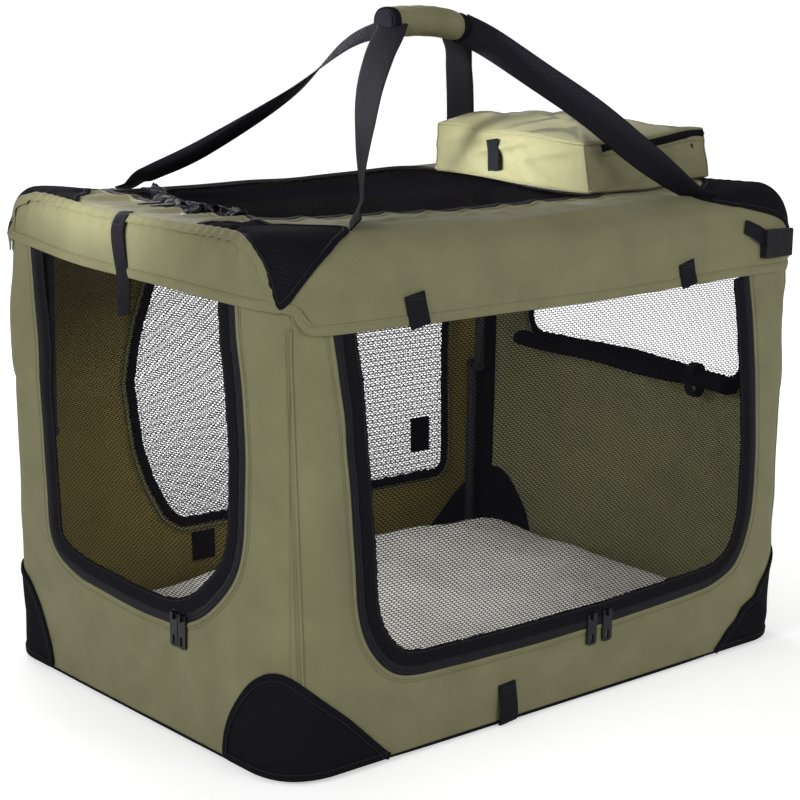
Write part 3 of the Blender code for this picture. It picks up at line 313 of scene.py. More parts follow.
# each fold: from, to, half width, height outwards
FOLDS = [
    ((0.375, -0.29, 0.03), (0.29, -0.29, 0.115), 0.012, 3.6 * MM),
    ((0.34, -0.29, 0.02), (0.25, -0.29, 0.085), 0.011, 1.8 * MM),
    ((0.39, -0.27, 0.10), (0.345, -0.29, 0.20), 0.012, 2.2 * MM),
    ((0.23, -0.29, 0.015), (0.12, -0.29, 0.060), 0.010, 1.2 * MM),
    ((-0.41, -0.10, 0.130), (-0.41, 0.02, 0.060), 0.009, 3.4 * MM),
    ((-0.41, -0.09, 0.125), (-0.41, -0.01, 0.030), 0.010, 3.2 * MM),
    ((-0.41, -0.11, 0.130), (-0.41, -0.13, 0.030), 0.011, 2.8 * MM),
    ((-0.41, 0.10, 0.125), (-0.41, 0.20, 0.050), 0.014, 1.8 * MM),
    ((0.10, -0.245, 0.575), (-0.20, -0.262, 0.560), 0.007, 3.2 * MM),
    ((0.16, -0.262, 0.560), (-0.10, -0.283, 0.535), 0.009, 3.0 * MM),
    ((-0.02, -0.222, 0.580), (-0.30, -0.216, 0.580), 0.006, 2.2 * MM),
    ((0.26, -0.28, 0.54), (0.05, -0.29, 0.49), 0.014, 1.4 * MM),
    ((0.39, -0.27, 0.47), (0.36, -0.285, 0.44), 0.008, 2.0 * MM),
    ((0.36, -0.285, 0.46), (0.39, -0.27, 0.33), 0.012, 2.0 * MM),
    ((-0.41, 0.262, 0.47), (-0.41, 0.225, 0.20), 0.016, 3.0 * MM),
    ((-0.40, 0.285, 0.47), (-0.40, 0.285, 0.36), 0.075, 9.0 * MM),
    ((-0.41, 0.03, 0.105), (-0.41, -0.10, 0.020), 0.010, 2.4 * MM),
    ((-0.41, 0.235, 0.17), (-0.41, 0.262, 0.06), 0.012, 2.6 * MM),
    ((-0.41, -0.235, 0.49), (-0.405, -0.262, 0.30), 0.012, 2.6 * MM),
    ((-0.32, -0.285, 0.10), (-0.22, -0.29, 0.05), 0.012, 2.4 * MM),
    ((-0.10, -0.29, 0.030), (0.10, -0.29, 0.075), 0.012, 1.6 * MM),
    ((-0.30, -0.29, 0.455), (-0.37, -0.28, 0.34), 0.012, 1.4 * MM),
    ((-0.37, -0.28, 0.40), (-0.34, -0.29, 0.15), 0.016, 1.6 * MM),
]
for n in range(7):   # the end of the top is crumpled beside the bunched zip
    y = -0.17 + 0.055 * n
    FOLDS.append(((-0.325, y, 0.58), (-0.398, y * 1.12 + 0.012, 0.578), 0.0065, (4.6 if n % 2 else 3.2) * MM))
for n in range(9):   # and so is the strip in front of the hatch
    x = -0.30 + 0.058 * n
    end = (x + (0.034 if n % 2 else 0.018), -0.236, 0.577)
    FOLDS.append(((x, -0.160, 0.58), end, 0.008, (3.4, 2.0, 2.8)[n % 3] * MM))
print(len(FOLDS), "folds and", len(RIPPLES), "ripples")

# %% [markdown]
# A move goes outwards from the soft box. The gathers below the end bands and the belly of the walls
# are added to the folds and ripples, and a few corners stand higher than the frame would have them.

# %% How far the cloth moves
def outward_at(points):
    """The outward direction of the soft box at any point near it."""
    d = np.stack([np.clip((np.abs(points[:, 0]) - (HALF_X - CORNER)) / CORNER, 0, 1.1),
                  np.clip((np.abs(points[:, 1]) - (HALF_Y - CORNER)) / CORNER, 0, 1.1),
                  np.clip((points[:, 2] - (TOP - 0.05)) / 0.05, 0, 1.1)], 1) ** 2
    d[:, :2] *= np.sign(points[:, :2])
    size = np.linalg.norm(d, axis=1, keepdims=True)
    return np.where(size > 1e-6, d / np.maximum(size, 1e-6), 0)


def ramp(value, low, high):
    s = np.clip((value - low) / (high - low), 0, 1)
    return s * s * (3 - 2 * s)


def stand(points):
    """The back left corner, the right end and the middle of the back right stand a little high."""
    x, y, z = points[..., 0], points[..., 1], points[..., 2]
    left = 11 * MM * ramp(-x, 0.28, 0.40) * ramp(y, 0.05, 0.28) * ramp(z, 0.35, 0.55)
    middle = 0.85 * ramp(x, -0.05, 0.20) * ramp(y, -0.10, 0.12)
    right = 10 * MM * np.maximum(ramp(x, 0.27, 0.38), middle) * ramp(z, 0.50, 0.565)
    return left + right


def hang(points):
    """How far the cloth moves from its smooth place, for an N by 3 array of points."""
    lift = np.zeros(len(points))
    for direction, phase, length in RIPPLES:
        d = direction / np.linalg.norm(direction)
        lift += 0.55 * MM * (length / 0.2) * np.sin(points @ d * math.tau / length + phase)
    for begin, end, half, height in FOLDS:
        a, b = np.array(begin), np.array(end)
        t = np.clip((points - a) @ (b - a) / ((b - a) @ (b - a)), 0, 1)
        away = np.linalg.norm(points - a - t[:, None] * (b - a), axis=1)
        fading = np.sin(math.pi * np.clip(t * 0.9 + 0.1, 0, 1)) ** 0.5
        lift += height * np.exp(-(away / half) ** 2) * fading
        lift -= 0.35 * height * np.exp(-((away - 2.1 * half) / half) ** 2) * np.sin(math.pi * t)
    # the end band's top seam gathers the cloth below it
    low_end = np.abs(points[:, 0]) > HALF_X - 0.035
    crest = np.interp(np.abs(points[:, 1]), (.17, .20, .225, .245, .262, .276),
                      (.5755, .571, .561, .545, .525, .507))
    seam = np.exp(-((points[:, 2] - crest + 0.007) / 0.012) ** 2) * low_end
    near_corner = np.clip((np.abs(points[:, 1]) - 0.12) / 0.10, 0, 1)
    gathers = np.sin(points[:, 1] * math.tau / 0.019 + 3 * np.sin(points[:, 1] * 40))
    lift += seam * (0.5 + 2.2 * near_corner) * MM * gathers
    # walls belly out a little between their edges
    up_wall = np.clip(points[:, 2] / TOP, 0, 1)
    side = (np.abs(points[:, 1]) > HALF_Y - 0.02) | (np.abs(points[:, 0]) > HALF_X - 0.02)
    lift += np.where(side, 4.5 * MM * np.sin(math.pi * np.clip(up_wall * 0.9 + 0.05, 0, 1)), 0)
    lift *= np.clip(points[:, 2] / 0.035, 0, 1) ** 0.8
    move = outward_at(points) * lift[:, None]
    move[:, 2] += stand(points)
    # the front left foot stands out, and the middle of the top sags between its edges
    foot_corner = ramp(-points[:, 0], 0.34, 0.40) * ramp(-points[:, 1], 0.22, 0.28)
    foot_corner *= ramp(-points[:, 2], -0.13, 0.0)
    move[:, :2] += foot_corner[:, None] * 5 * MM * np.array((-0.75, -0.65))
    sag = np.sin(math.pi * np.clip((points[:, 0] + HALF_X) / (2 * HALF_X), 0, 1))
    sag *= np.sin(math.pi * np.clip((points[:, 1] + HALF_Y) / (2 * HALF_Y), 0, 1))
    on_the_top = (points[:, 2] > TOP - 0.03) & (points[:, 2] < TOP + 0.004)
    move[:, 2] -= np.where(on_the_top, 5 * MM * np.clip(sag, 0, 1) ** 1.5, 0)
    return move


print("middle of the front moves", (hang(np.array([(0, -HALF_Y, TOP / 2)]))[0] / MM).round(1), "mm")

# %% [markdown]
# ## Sheets, bands, stitches and nets
# Blender's steps for selecting, for modifiers and for reading and moving corners come up often, so
# each is a helper here. Corners are moved all at once as an array, which is far quicker than one by one.

# %% Helpers for meshes
def deselect():
    if bpy.context.object and bpy.context.object.mode != "OBJECT":
        bpy.ops.object.mode_set(mode="OBJECT")
    bpy.ops.object.select_all(action="DESELECT")


def apply_modifiers(piece):
    deselect()
    piece.select_set(True)
    bpy.context.view_layer.objects.active = piece
    for modifier in list(piece.modifiers):
        bpy.ops.object.modifier_apply(modifier=modifier.name)


def corners_of(piece):
    flat = np.empty(len(piece.data.vertices) * 3)
    piece.data.vertices.foreach_get("co", flat)
    return flat.reshape(-1, 3)


def move_corners(piece, points):
    piece.data.vertices.foreach_set("co", np.asarray(points, float).ravel())
    piece.data.update()


# %% [markdown]
# A sheet starts as Blender's grid, whose corners are then laid over the box. Its seam map holds real
# metres, so that the weave keeps its size. Solidify gives it two sides, the inner one in lining.


def sheet(name, columns, rows, lay, pattern, finish, flip=False):
    """A grid laid by lay(u, v) with u and v from 0 to 1, and its seam map by pattern(u, v)."""
    deselect()
    bpy.ops.mesh.primitive_grid_add(x_subdivisions=columns, y_subdivisions=rows, size=1)
    piece = bpy.context.object
    piece.name = piece.data.name = name
    co = corners_of(piece)
    u, v = np.clip(co[:, 0] + 0.5, 0, 1), np.clip(co[:, 1] + 0.5, 0, 1)
    map_u, map_v = pattern(u, v)
    index = np.empty(len(piece.data.loops), int)
    piece.data.loops.foreach_get("vertex_index", index)
    piece.data.uv_layers[0].data.foreach_set("uv", np.stack([map_u[index], map_v[index]], 1).ravel())
    move_corners(piece, lay(u, v))
    bpy.ops.object.mode_set(mode="EDIT")
    bpy.ops.mesh.select_all(action="SELECT")
    bpy.ops.mesh.remove_doubles(threshold=1e-6)
    if flip:
        bpy.ops.mesh.flip_normals()
    bpy.ops.object.mode_set(mode="OBJECT")
    piece.data.materials.append(finish)
    bpy.ops.object.shade_smooth()
    return piece


def thicken(piece, thickness, lining=None):
    """Gives a sheet its thickness inwards, with the lining on its inner face."""
    if lining:
        piece.data.materials.append(lining)
    modifier = piece.modifiers.new("thickness", "SOLIDIFY")
    modifier.thickness = thickness
    modifier.offset = -1
    modifier.material_offset = 1 if lining else 0
    apply_modifiers(piece)
    return piece


def settle(piece, body, replaced=(), hung=True):
    """Hangs a piece as the cloth hangs, and says what it rides on and what it stands for."""
    if hung:
        points = corners_of(piece)
        move_corners(piece, points + hang(points))
    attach(piece, body)
    if replaced:
        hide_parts(*([replaced] if isinstance(replaced, str) else replaced))
    return piece


def face_outwards(capped=False):
    """Turns all faces of the active piece outwards, and first closes its open ends where asked."""
    bpy.ops.object.mode_set(mode="EDIT")
    if capped:
        bpy.ops.mesh.select_all(action="DESELECT")
        bpy.ops.mesh.select_non_manifold(extend=False)
        bpy.ops.mesh.edge_face_add()
    bpy.ops.mesh.select_all(action="SELECT")
    bpy.ops.mesh.normals_make_consistent(inside=False)
    bpy.ops.object.mode_set(mode="OBJECT")


print("cloth is", round(CLOTH / MM, 1), "mm thick")

# %% [markdown]
# Tapes, bindings, zips and straps follow paths. A path is a row of points with the outward direction
# at each. These helpers space it evenly, smooth it, and find the directions that are square to it.

# %% Paths
def spaced(path, step, closed=False):
    """The same path with its points evenly apart. Columns past the third are carried along."""
    path = np.asarray(path, float)
    if closed:
        path = np.vstack([path, path[:1]])
    run = np.r_[0, np.cumsum(np.linalg.norm(np.diff(path[:, :3], axis=0), axis=1))]
    count = max(2, int(round(run[-1] / step)) + 1)
    t = np.linspace(0, run[-1], count)
    even = np.stack([np.interp(t, run, path[:, k]) for k in range(path.shape[1])], 1)
    return even[:-1] if closed else even


def smooth_line(points, count):
    """A smooth curve through the points (Catmull-Rom), with values in the further columns."""
    p = np.asarray(points, float)
    p = np.vstack([2 * p[0] - p[1], p, 2 * p[-1] - p[-2]])
    out = []
    for t in np.linspace(0, len(p) - 3 - 1e-9, count):
        k, f = int(t), t - int(t)
        a, b, c, d = p[k:k + 4]
        square, cube = 2 * a - 5 * b + 4 * c - d, 3 * b - a - 3 * c + d
        out.append(0.5 * (2 * b + (c - a) * f + square * f ** 2 + cube * f ** 3))
    return np.array(out)


def frames_along(points, normals, closed=False):
    """Side and outward directions, square to the path at each point."""
    if closed:
        tangent = np.roll(points, -1, 0) - np.roll(points, 1, 0)
    else:
        tangent = np.gradient(points, axis=0)
    tangent /= np.linalg.norm(tangent, axis=1, keepdims=True)
    side = np.cross(normals, tangent)
    side /= np.linalg.norm(side, axis=1, keepdims=True)
    out = np.cross(tangent, side)
    return tangent, side, out


print("1 m in steps of about 0.3 m:", spaced([(0, 0, 0), (1, 0, 0)], 0.3)[:, 0].round(2))

# %% [markdown]
# All of them are a small cross-section drawn along such a path, given as (across, outwards) pairs. A
# curve with a bevel could do it too, but here the turn of the tape at each point is known exactly.

# %% Drawing a section along a path
def drawn(name, points, normals, section, finish, closed=False):
    """A section of (across, outwards) pairs, which closes on itself, drawn along points."""
    points, normals = np.asarray(points), np.asarray(normals)
    _, side, out = frames_along(points, normals, closed)
    if closed:
        points, side, out = (np.vstack([a, a[:1]]) for a in (points, side, out))
    section = np.vstack([section, section[:1]])
    count, around = len(points) - 1, len(section) - 1
    run = np.r_[0, np.cumsum(np.linalg.norm(np.diff(points, axis=0), axis=1))]
    girth = np.r_[0, np.cumsum(np.linalg.norm(np.diff(section, axis=0), axis=1))]

    def lay(u, v):
        i, j = np.rint(u * count).astype(int), np.rint(v * around).astype(int)
        return points[i] + side[i] * section[j, :1] + out[i] * section[j, 1:]

    def pattern(u, v):
        return run[np.rint(u * count).astype(int)], girth[np.rint(v * around).astype(int)]
    piece = sheet(name, count, around, lay, pattern, finish, flip=True)
    if not closed:
        bpy.ops.object.mode_set(mode="EDIT")
        bpy.ops.mesh.select_mode(type="EDGE")
        bpy.ops.mesh.select_all(action="DESELECT")
        bpy.ops.mesh.select_non_manifold(extend=False)
        bpy.ops.mesh.edge_face_add()
        bpy.ops.mesh.select_all(action="DESELECT")
        bpy.ops.mesh.select_mode(type="VERT")
        bpy.ops.object.mode_set(mode="OBJECT")
    return piece


def flat_section(width, thickness, crown=0.0, lift=0.0):
    """A tape's section: flat below, with rounded edges and a soft crown."""
    half = width / 2
    across = np.array([-half, -half, -0.86 * half, -0.4 * half, 0, 0.4 * half, 0.86 * half, half, half, 0])
    rise = np.array([0, 0.5, 0.95, 1, 1, 1, 0.95, 0.5, 0, 0]) * thickness
    rise[2:7] += crown * np.array([0.3, 0.85, 1, 0.85, 0.3])
    return np.stack([across, rise + lift], 1)


def band(name, placed, section, finish, body, replaced=(), closed=False, hung=True):
    """A section drawn along placed points with their outward directions, and settled."""
    return settle(drawn(name, *placed, section, finish, closed), body, replaced, hung)


def round_section(radius, lift=0.0, sides=8):
    t = np.linspace(0, math.tau, sides, endpoint=False)
    return np.stack([-radius * np.cos(t), radius * np.sin(t) + lift], 1)


print("a tape's section has", len(flat_section(10 * MM, TAPE)), "points")

# %% [markdown]
# A stitch is a short rounded bar of thread. One is modelled, and each line of stitches repeats it
# along its path, a stitch length apart, in one mesh with a few faces for each stitch.

# %% Stitches
def stitch_shape():
    deselect()
    bpy.ops.mesh.primitive_cube_add(size=1)
    bar = bpy.context.object
    bpy.ops.object.mode_set(mode="EDIT")
    bpy.ops.mesh.select_all(action="SELECT")
    bpy.ops.mesh.bevel(offset=0.28, segments=1, affect="EDGES")
    bpy.ops.object.mode_set(mode="OBJECT")
    shape = corners_of(bar).copy(), [tuple(p.vertices) for p in bar.data.polygons]
    bpy.data.objects.remove(bar)
    return shape


STITCH_CORNERS, STITCH_FACES = stitch_shape()
STITCH_PITCH, STITCH_LENGTH, STITCH_WIDTH = 3.2 * MM, 2.3 * MM, 0.7 * MM


def repeated(name, corners, faces, origins, axes, finish):
    """One mesh with the shape at each origin, turned by each set of three axes."""
    count, n = len(origins), len(corners)
    points = origins[:, None, :] + np.einsum("nk,mkj->mnj", corners, axes)
    mesh = bpy.data.meshes.new(name)
    mesh.from_pydata(points.reshape(-1, 3).tolist(), [],
                     [tuple(v + n * m for v in face) for m in range(count) for face in faces])
    mesh.uv_layers.new(name="UVMap")
    mesh.materials.append(finish)
    piece = bpy.data.objects.new(name, mesh)
    bpy.context.scene.collection.objects.link(piece)
    return piece


def sewn(name, placed, finish, body, proud=0.0, closed=False, hung=True):
    """A row of stitches along placed points, this far proud of them, and settled."""
    points, normals = placed
    joined = spaced(np.hstack([points + normals * proud, normals]), STITCH_PITCH, closed)
    where, facing = joined[:, :3], joined[:, 3:]
    tangent, side, out = frames_along(where, facing, closed)
    axes = np.stack([tangent * STITCH_LENGTH, side * STITCH_WIDTH, out * STITCH_WIDTH], 1)
    origins = where + out * STITCH_WIDTH * 0.2
    return settle(repeated(name, STITCH_CORNERS, STITCH_FACES, origins, axes, finish), body, hung=hung)


def thread(name, dark, light):
    material, tree, shader = start(name, 0.6)
    two_tones(tree, shader, dark, light, blotches(tree, object_place(tree), 5 * MM))
    return material


thread_olive = thread("polyester_thread_olive", "#66643f", "#77744f")
thread_black = thread("polyester_thread_black", "#121216", "#26262c")
print("a stitch has", len(STITCH_FACES), "faces and is", round(STITCH_LENGTH / MM, 1), "mm long")

# %% [markdown]
# The net is knitted, with holes in staggered rows. Each hole here is a six-sided opening, and the
# threads are the faces between neighbouring openings, so the net is one light, gap-free mesh.

# %% Net
NET_PITCH, NET_ROW, NET_THREAD = 6.4 * MM, 2.6 * MM, 1.12 * MM


def net(name, box, inside, lay, finish, pitch=NET_PITCH, row=NET_ROW, thread=NET_THREAD):
    """Holes over box = (low a, low b, high a, high b) where inside(a, b) is true, laid by lay(a, b)."""
    columns, rows = int((box[2] - box[0]) / pitch) + 3, int((box[3] - box[1]) / row) + 3
    rows += rows % 2
    i, j = np.meshgrid(np.arange(columns), np.arange(rows))
    cx = box[0] - pitch + (i + (j % 2) / 2) * pitch
    cy = box[1] - row + j * row
    keep = inside(cx, cy)
    narrow_x, narrow_y = 1 - thread / pitch, 1 - thread * 1.05 / (row * 4 / 3)
    ring = np.array([(.5, 1 / 3), (0, 2 / 3), (-.5, 1 / 3), (-.5, -1 / 3), (0, -2 / 3), (.5, -1 / 3)])
    ring = ring * np.array([pitch * narrow_x, row * narrow_y])
    a = cx[..., None] + ring[:, 0]
    b = cy[..., None] + ring[:, 1]
    number = (j * columns + i)[..., None] * 6 + np.arange(6)
    h = slice(1, -1)
    odd = (j % 2)[h, h]
    me, ok = number[h, h], keep[h, h]
    east, ok_e = number[h, 2:], keep[h, 2:]
    up_r = np.where(odd[..., None] == 1, number[2:, 2:], number[2:, h])
    up_l = np.where(odd[..., None] == 1, number[2:, h], number[2:, :-2])
    ok_r = np.where(odd == 1, keep[2:, 2:], keep[2:, h])
    ok_l = np.where(odd == 1, keep[2:, h], keep[2:, :-2])
    quads = [np.stack([me[..., 5], east[..., 3], east[..., 2], me[..., 0]], -1)[ok & ok_e],
             np.stack([me[..., 0], up_r[..., 4], up_r[..., 3], me[..., 1]], -1)[ok & ok_r],
             np.stack([me[..., 1], up_l[..., 5], up_l[..., 4], me[..., 2]], -1)[ok & ok_l]]
    knots = [np.stack([me[..., 0], east[..., 2], up_r[..., 4]], -1)[ok & ok_e & ok_r],
             np.stack([me[..., 1], up_r[..., 3], up_l[..., 5]], -1)[ok & ok_r & ok_l]]
    quads, knots = np.vstack(quads), np.vstack(knots)
    used = np.unique(np.r_[quads.ravel(), knots.ravel()])
    fresh = np.full(number.size, -1)
    fresh[used] = np.arange(len(used))
    points = lay(a.reshape(-1)[used], b.reshape(-1)[used])
    mesh = bpy.data.meshes.new(name)
    mesh.from_pydata(points.tolist(), [], fresh[quads].tolist() + fresh[knots].tolist())
    mesh.uv_layers.new(name="UVMap")
    mesh.materials.append(finish)
    piece = bpy.data.objects.new(name, mesh)
    bpy.context.scene.collection.objects.link(piece)
    print(name, len(quads) * 2 + len(knots), "triangles")
    return piece


def within(loop):
    """A test for points inside a closed outline."""
    x0, y0 = np.asarray(loop).T
    x1, y1 = np.roll(x0, -1), np.roll(y0, -1)

    def test(a, b):
        found = np.zeros(a.shape, bool)
        for p, q, r, s in zip(x0, y0, x1, y1):
            if q != s:
                found ^= ((q > b) != (s > b)) & (a < (r - p) * (b - q) / (s - q) + p)
        return found
    return test

# %% [markdown]
# ## Openings
# A door is a U of zip whose ends run up under the skirt of the cover. The real ones are cut by hand:
# one side leans, the other bellies, and the lower corners are large. The windows are closed outlines.

# %% Outlines of the doors and windows
def arc(a, b, radius, begin, end, steps=12):
    t = np.radians(np.linspace(begin, end, steps))
    return np.stack([a + radius * np.cos(t), b + radius * np.sin(t)], 1)


def traced(points):
    """A smooth outline through given points."""
    line = spaced(smooth_line(points, 400), 6 * MM)
    for _ in range(3):
        line[1:-1] = (line[:-2] + 2 * line[1:-1] + line[2:]) / 4
    return line


def rounded(low, high, bottom, head, corner):
    """A box's outline with rounded corners."""
    loop = np.vstack([arc(low + corner, bottom + corner, corner, 180, 270),
                      arc(high - corner, bottom + corner, corner, 270, 360),
                      arc(high - corner, head - corner, corner, 0, 90),
                      arc(low + corner, head - corner, corner, 90, 180)])
    return spaced(loop, 6 * MM, closed=True)


def eased(path, away, closed=False):
    """The path moved to its left by away, which is inwards for an outline that runs anticlockwise."""
    tangent = np.roll(path, -1, 0) - np.roll(path, 1, 0) if closed else np.gradient(path, axis=0)
    tangent /= np.linalg.norm(tangent, axis=1, keepdims=True)
    return path + away * np.stack([-tangent[:, 1], tangent[:, 0]], 1)


# how far cloth is cut back from a zip's line and a net laps under it, and how deep the nets lie
CUT_BACK, NET_LAP, DOOR_NET_IN, WINDOW_NET_IN = 5 * MM, 4 * MM, 1.6 * MM, 2.6 * MM
FRONT_U = traced([(-.350, FRONT_HEM + .007), (-.338, .411), (-.328, .325), (-.320, .237),
                  (-.313, .170), (-.294, .130), (-.256, .101), (-.185, .096), (-.109, .094),
                  (-.012, .093), (.056, .094), (.090, .095), (.198, .099), (.259, .104), (.297, .124),
                  (.316, .159), (.322, .197), (.321, .260), (.318, .327), (.309, .405),
                  (.295, FRONT_HEM + .007)])
END_U = traced([(-.200, .523), (-.189, .412), (-.180, .304), (-.170, .220), (-.160, .170),
                (-.115, .147), (-.044, .139), (.030, .135), (.085, .138), (.130, .153), (.168, .179),
                (.203, .217), (.217, .259), (.220, .324), (.214, .407), (.203, .470), (.197, .514)])
hatch_low, hatch_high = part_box("top_hatch")
HATCH = rounded(hatch_low.x, hatch_high.x, hatch_low.y, hatch_high.y, 40 * MM)
window_low, window_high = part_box("back_window_net")
BACK_WINDOW = rounded(-window_high.x + 10 * MM, -window_low.x - 10 * MM, window_low.z + 21 * MM,
                      window_high.z + 14 * MM, 24 * MM)
far = BACK_WINDOW[:, 0] > 0   # its far edge bellies: how far along it stands at each height
FAR_HEIGHTS = (.110, .133, .18, .23, .32, .40, .446, .474)
FAR_REACH = (.150, .169, .195, .213, .226, .212, .195, .180)
BACK_WINDOW[far, 0] *= np.interp(BACK_WINDOW[far, 1], FAR_HEIGHTS, FAR_REACH) / 0.24
roll_low, roll_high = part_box("right_window_roll")
END_WINDOW = rounded(roll_low.y - 8 * MM, roll_high.y + 3 * MM, roll_high.z, TOP - 95 * MM, 30 * MM)
END_WINDOW[:, 1] -= (7 * MM + 14 * MM * (-END_WINDOW[:, 0] / 0.2).clip(0, 1)) * (END_WINDOW[:, 1] < 0.38)
print("front door", round(np.ptp(FRONT_U[:, 0]), 3), "m wide, end door", round(np.ptp(END_U[:, 0]), 3),
      "m wide")

# %% [markdown]
# ## Walls
# Each wall is one piece of cloth round its opening, from seam to seam. Its grid runs round the
# opening and out to the edges, so the cut edge is clean, and there are enough rows for the folds.

# %% Cut a wall round its opening
def cut_at_angles(loop, centre, angles):
    """The points of a closed outline that are seen from the centre at these angles."""
    d = loop - centre
    seen = np.arctan2(d[:, 1], d[:, 0])
    order = np.argsort(seen)
    reach = np.linalg.norm(d, axis=1)[order]
    seen = seen[order]
    seen = np.r_[seen[-1] - math.tau, seen, seen[0] + math.tau]
    reach = np.interp(angles, seen, np.r_[reach[-1], reach, reach[0]])
    return centre + reach[:, None] * np.stack([np.cos(angles), np.sin(angles)], 1)


def wall(name, face, opening, foot, head, finish, lining, rows=26):
    reach = seam_along(face)
    centre = (opening.min(0) + opening.max(0)) / 2
    box = np.array([(-reach, foot), (reach, foot), (reach, head), (-reach, head)])
    d = opening - centre
    angles = np.arctan2(d[:, 1], d[:, 0])
    corner_angles = np.arctan2(*(box - centre).T[::-1])
    angles = np.sort(np.r_[angles, corner_angles])
    angles = np.r_[angles, angles[0] + math.tau]
    inner = cut_at_angles(opening, centre, (angles + math.pi) % math.tau - math.pi)
    c, s = np.cos(angles), np.sin(angles)
    with np.errstate(divide="ignore"):
        far_a = np.where(c > 0, (reach - centre[0]) / c, (-reach - centre[0]) / c)
        far_b = np.where(s > 0, (head - centre[1]) / s, (foot - centre[1]) / s)
    outer = centre + np.minimum(np.abs(far_a), np.abs(far_b))[:, None] * np.stack([c, s], 1)
    count = len(angles) - 1

    def cut(u, v):
        k = np.rint(u * count).astype(int)
        return inner[k] + (outer[k] - inner[k]) * v[:, None]

    def lay(u, v):
        ab = cut(u, v)
        return place_on(face, ab[:, 0], ab[:, 1])[0]
    piece = sheet(name, count, rows, lay, lambda u, v: tuple(cut(u, v).T), finish, flip=True)
    return thicken(piece, CLOTH, lining)


def closed_door(path, away):
    """The cloth's cut edge: the zip's line, moved outwards, with its head closed out of sight."""
    edge = eased(path, away)
    across = np.linspace(edge[-1], edge[0], 60)[1:-1]
    return np.vstack([edge, across])


print("front door's edge:", len(closed_door(FRONT_U, -CUT_BACK)), "points")

# %% [markdown]
# All four walls are made the same way. The right end's window is open in the photograph, so its
# uncoated lining shows and is a little greener. Each wall starts a list of what is sewn to it.

# %% The four walls
WALL_FOOT = FLOOR_TOP + 0.5 * MM
on_wall = {"feet": []}   # all that is sewn to each wall, and to the feet, each to get a mesh of its own at the end
for face, name, opening, head, lining in (
        ("front", "front_wall", closed_door(FRONT_U, -CUT_BACK), FRONT_HEM + 32 * MM, lining_cloth),
        ("left", "left_end", closed_door(END_U, -CUT_BACK), END_HEM + 30 * MM, lining_cloth),
        ("back", "back_wall", BACK_WINDOW, FRONT_HEM + 40 * MM, lining_cloth),
        ("right", "right_end", END_WINDOW, END_HEM + 14 * MM, green_lining)):
    piece = wall(name + "_cloth", face, opening, WALL_FOOT, head, olive_cloth, lining)
    print(piece.name, len(piece.data.polygons), "faces", tuple(round(x, 3) for x in piece.dimensions))
    settle(piece, "root", name if "wall" in name else name + "_wall")
    on_wall[face] = [piece]

# %% [markdown]
# ## The cover
# The top is one piece of cloth that rolls over every edge and hangs as a skirt over the walls. Its
# grid runs round the box. Each column starts at the hem, goes up and over, and ends at the hatch.

# %% Cover from the hem to the hatch
PER_FACE, UP_ROWS, IN_ROWS = 150, 26, 34
ring_faces, ring_along, ring_hem = [], [], []
for face in RING:
    reach = seam_along(face)
    along = np.linspace(-reach, reach, PER_FACE + 1)[:-1]
    hem = FRONT_HEM if face in ("front", "back") else END_HEM
    if face == "left":
        hem = END_HEM + (10 - 26 * along) * MM
    else:
        hem = hem + 7 * MM * ramp(along, 0, 0.33) * (face == "front")
    if face in ("front", "back"):   # the side hems step up to the end bands beside the seams
        corner_hem = np.where((along < 0) == (face == "front"),
                              END_HEM + (2 if face == "front" else 17) * MM, END_HEM)
        hem = hem + (corner_hem - hem) * ramp(np.abs(along), reach - 20 * MM, reach)
    ring_faces += [face] * PER_FACE
    ring_along += list(along)
    ring_hem += list(np.broadcast_to(hem, along.shape))
ring_along, ring_hem = np.array(ring_along), np.array(ring_hem)
columns = len(ring_faces)
ridge = np.zeros((columns + 1, UP_ROWS + IN_ROWS + 1, 3))
HATCH_EDGE = eased(HATCH, -CUT_BACK, closed=True)
hatch_centre = (HATCH.min(0) + HATCH.max(0)) / 2
for face in RING:
    mine = np.array([k for k, f in enumerate(ring_faces) if f == face])
    _, normal = place_on(face, ring_along[mine], 0.2)
    roll = SIDE_ROLL * normal[:, 1] ** 2 + END_ROLL * normal[:, 0] ** 2
    crest = TOP - roll + roll * math.pi / 2
    for row in range(UP_ROWS + 1):
        t = row / UP_ROWS
        height = ring_hem[mine] + (crest - ring_hem[mine]) * t
        ridge[mine, row] = place_on(face, ring_along[mine], height, 3.6 * MM * (1 - t) ** 2)[0]
ridge[-1] = ridge[0]
crest_points = ridge[:, UP_ROWS]
d = crest_points[:, :2] - hatch_centre
rim = cut_at_angles(HATCH_EDGE, hatch_centre, np.arctan2(d[:, 1], d[:, 0]))
for row in range(1, IN_ROWS + 1):
    t = row / IN_ROWS
    ridge[:, UP_ROWS + row, :2] = crest_points[:, :2] + (rim - crest_points[:, :2]) * t
    ridge[:, UP_ROWS + row, 2] = crest_points[:, 2]
run = np.r_[0, np.cumsum(np.linalg.norm(np.diff(ridge[:, 0], axis=0), axis=1))]
climb = np.cumsum(np.linalg.norm(np.diff(ridge, axis=1), axis=2), axis=1)
climb = np.concatenate([np.zeros((columns + 1, 1)), climb], 1)


def cover_index(u, v):
    return np.rint(u * columns).astype(int), np.rint(v * (UP_ROWS + IN_ROWS)).astype(int)


cover = sheet("top_cover_cloth", columns, UP_ROWS + IN_ROWS, lambda u, v: ridge[cover_index(u, v)],
              lambda u, v: (run[cover_index(u, v)[0]], climb[cover_index(u, v)]), olive_cloth)
thicken(cover, CLOTH, lining_cloth)
settle(cover, "top", "top_cover")
print(cover.name, len(cover.data.polygons), "faces")

# %% [markdown]
# ## Nets
# The nets lie just inside the cloth. The front and end nets fill the doors, the back one its window,
# and the hatch closes the top.

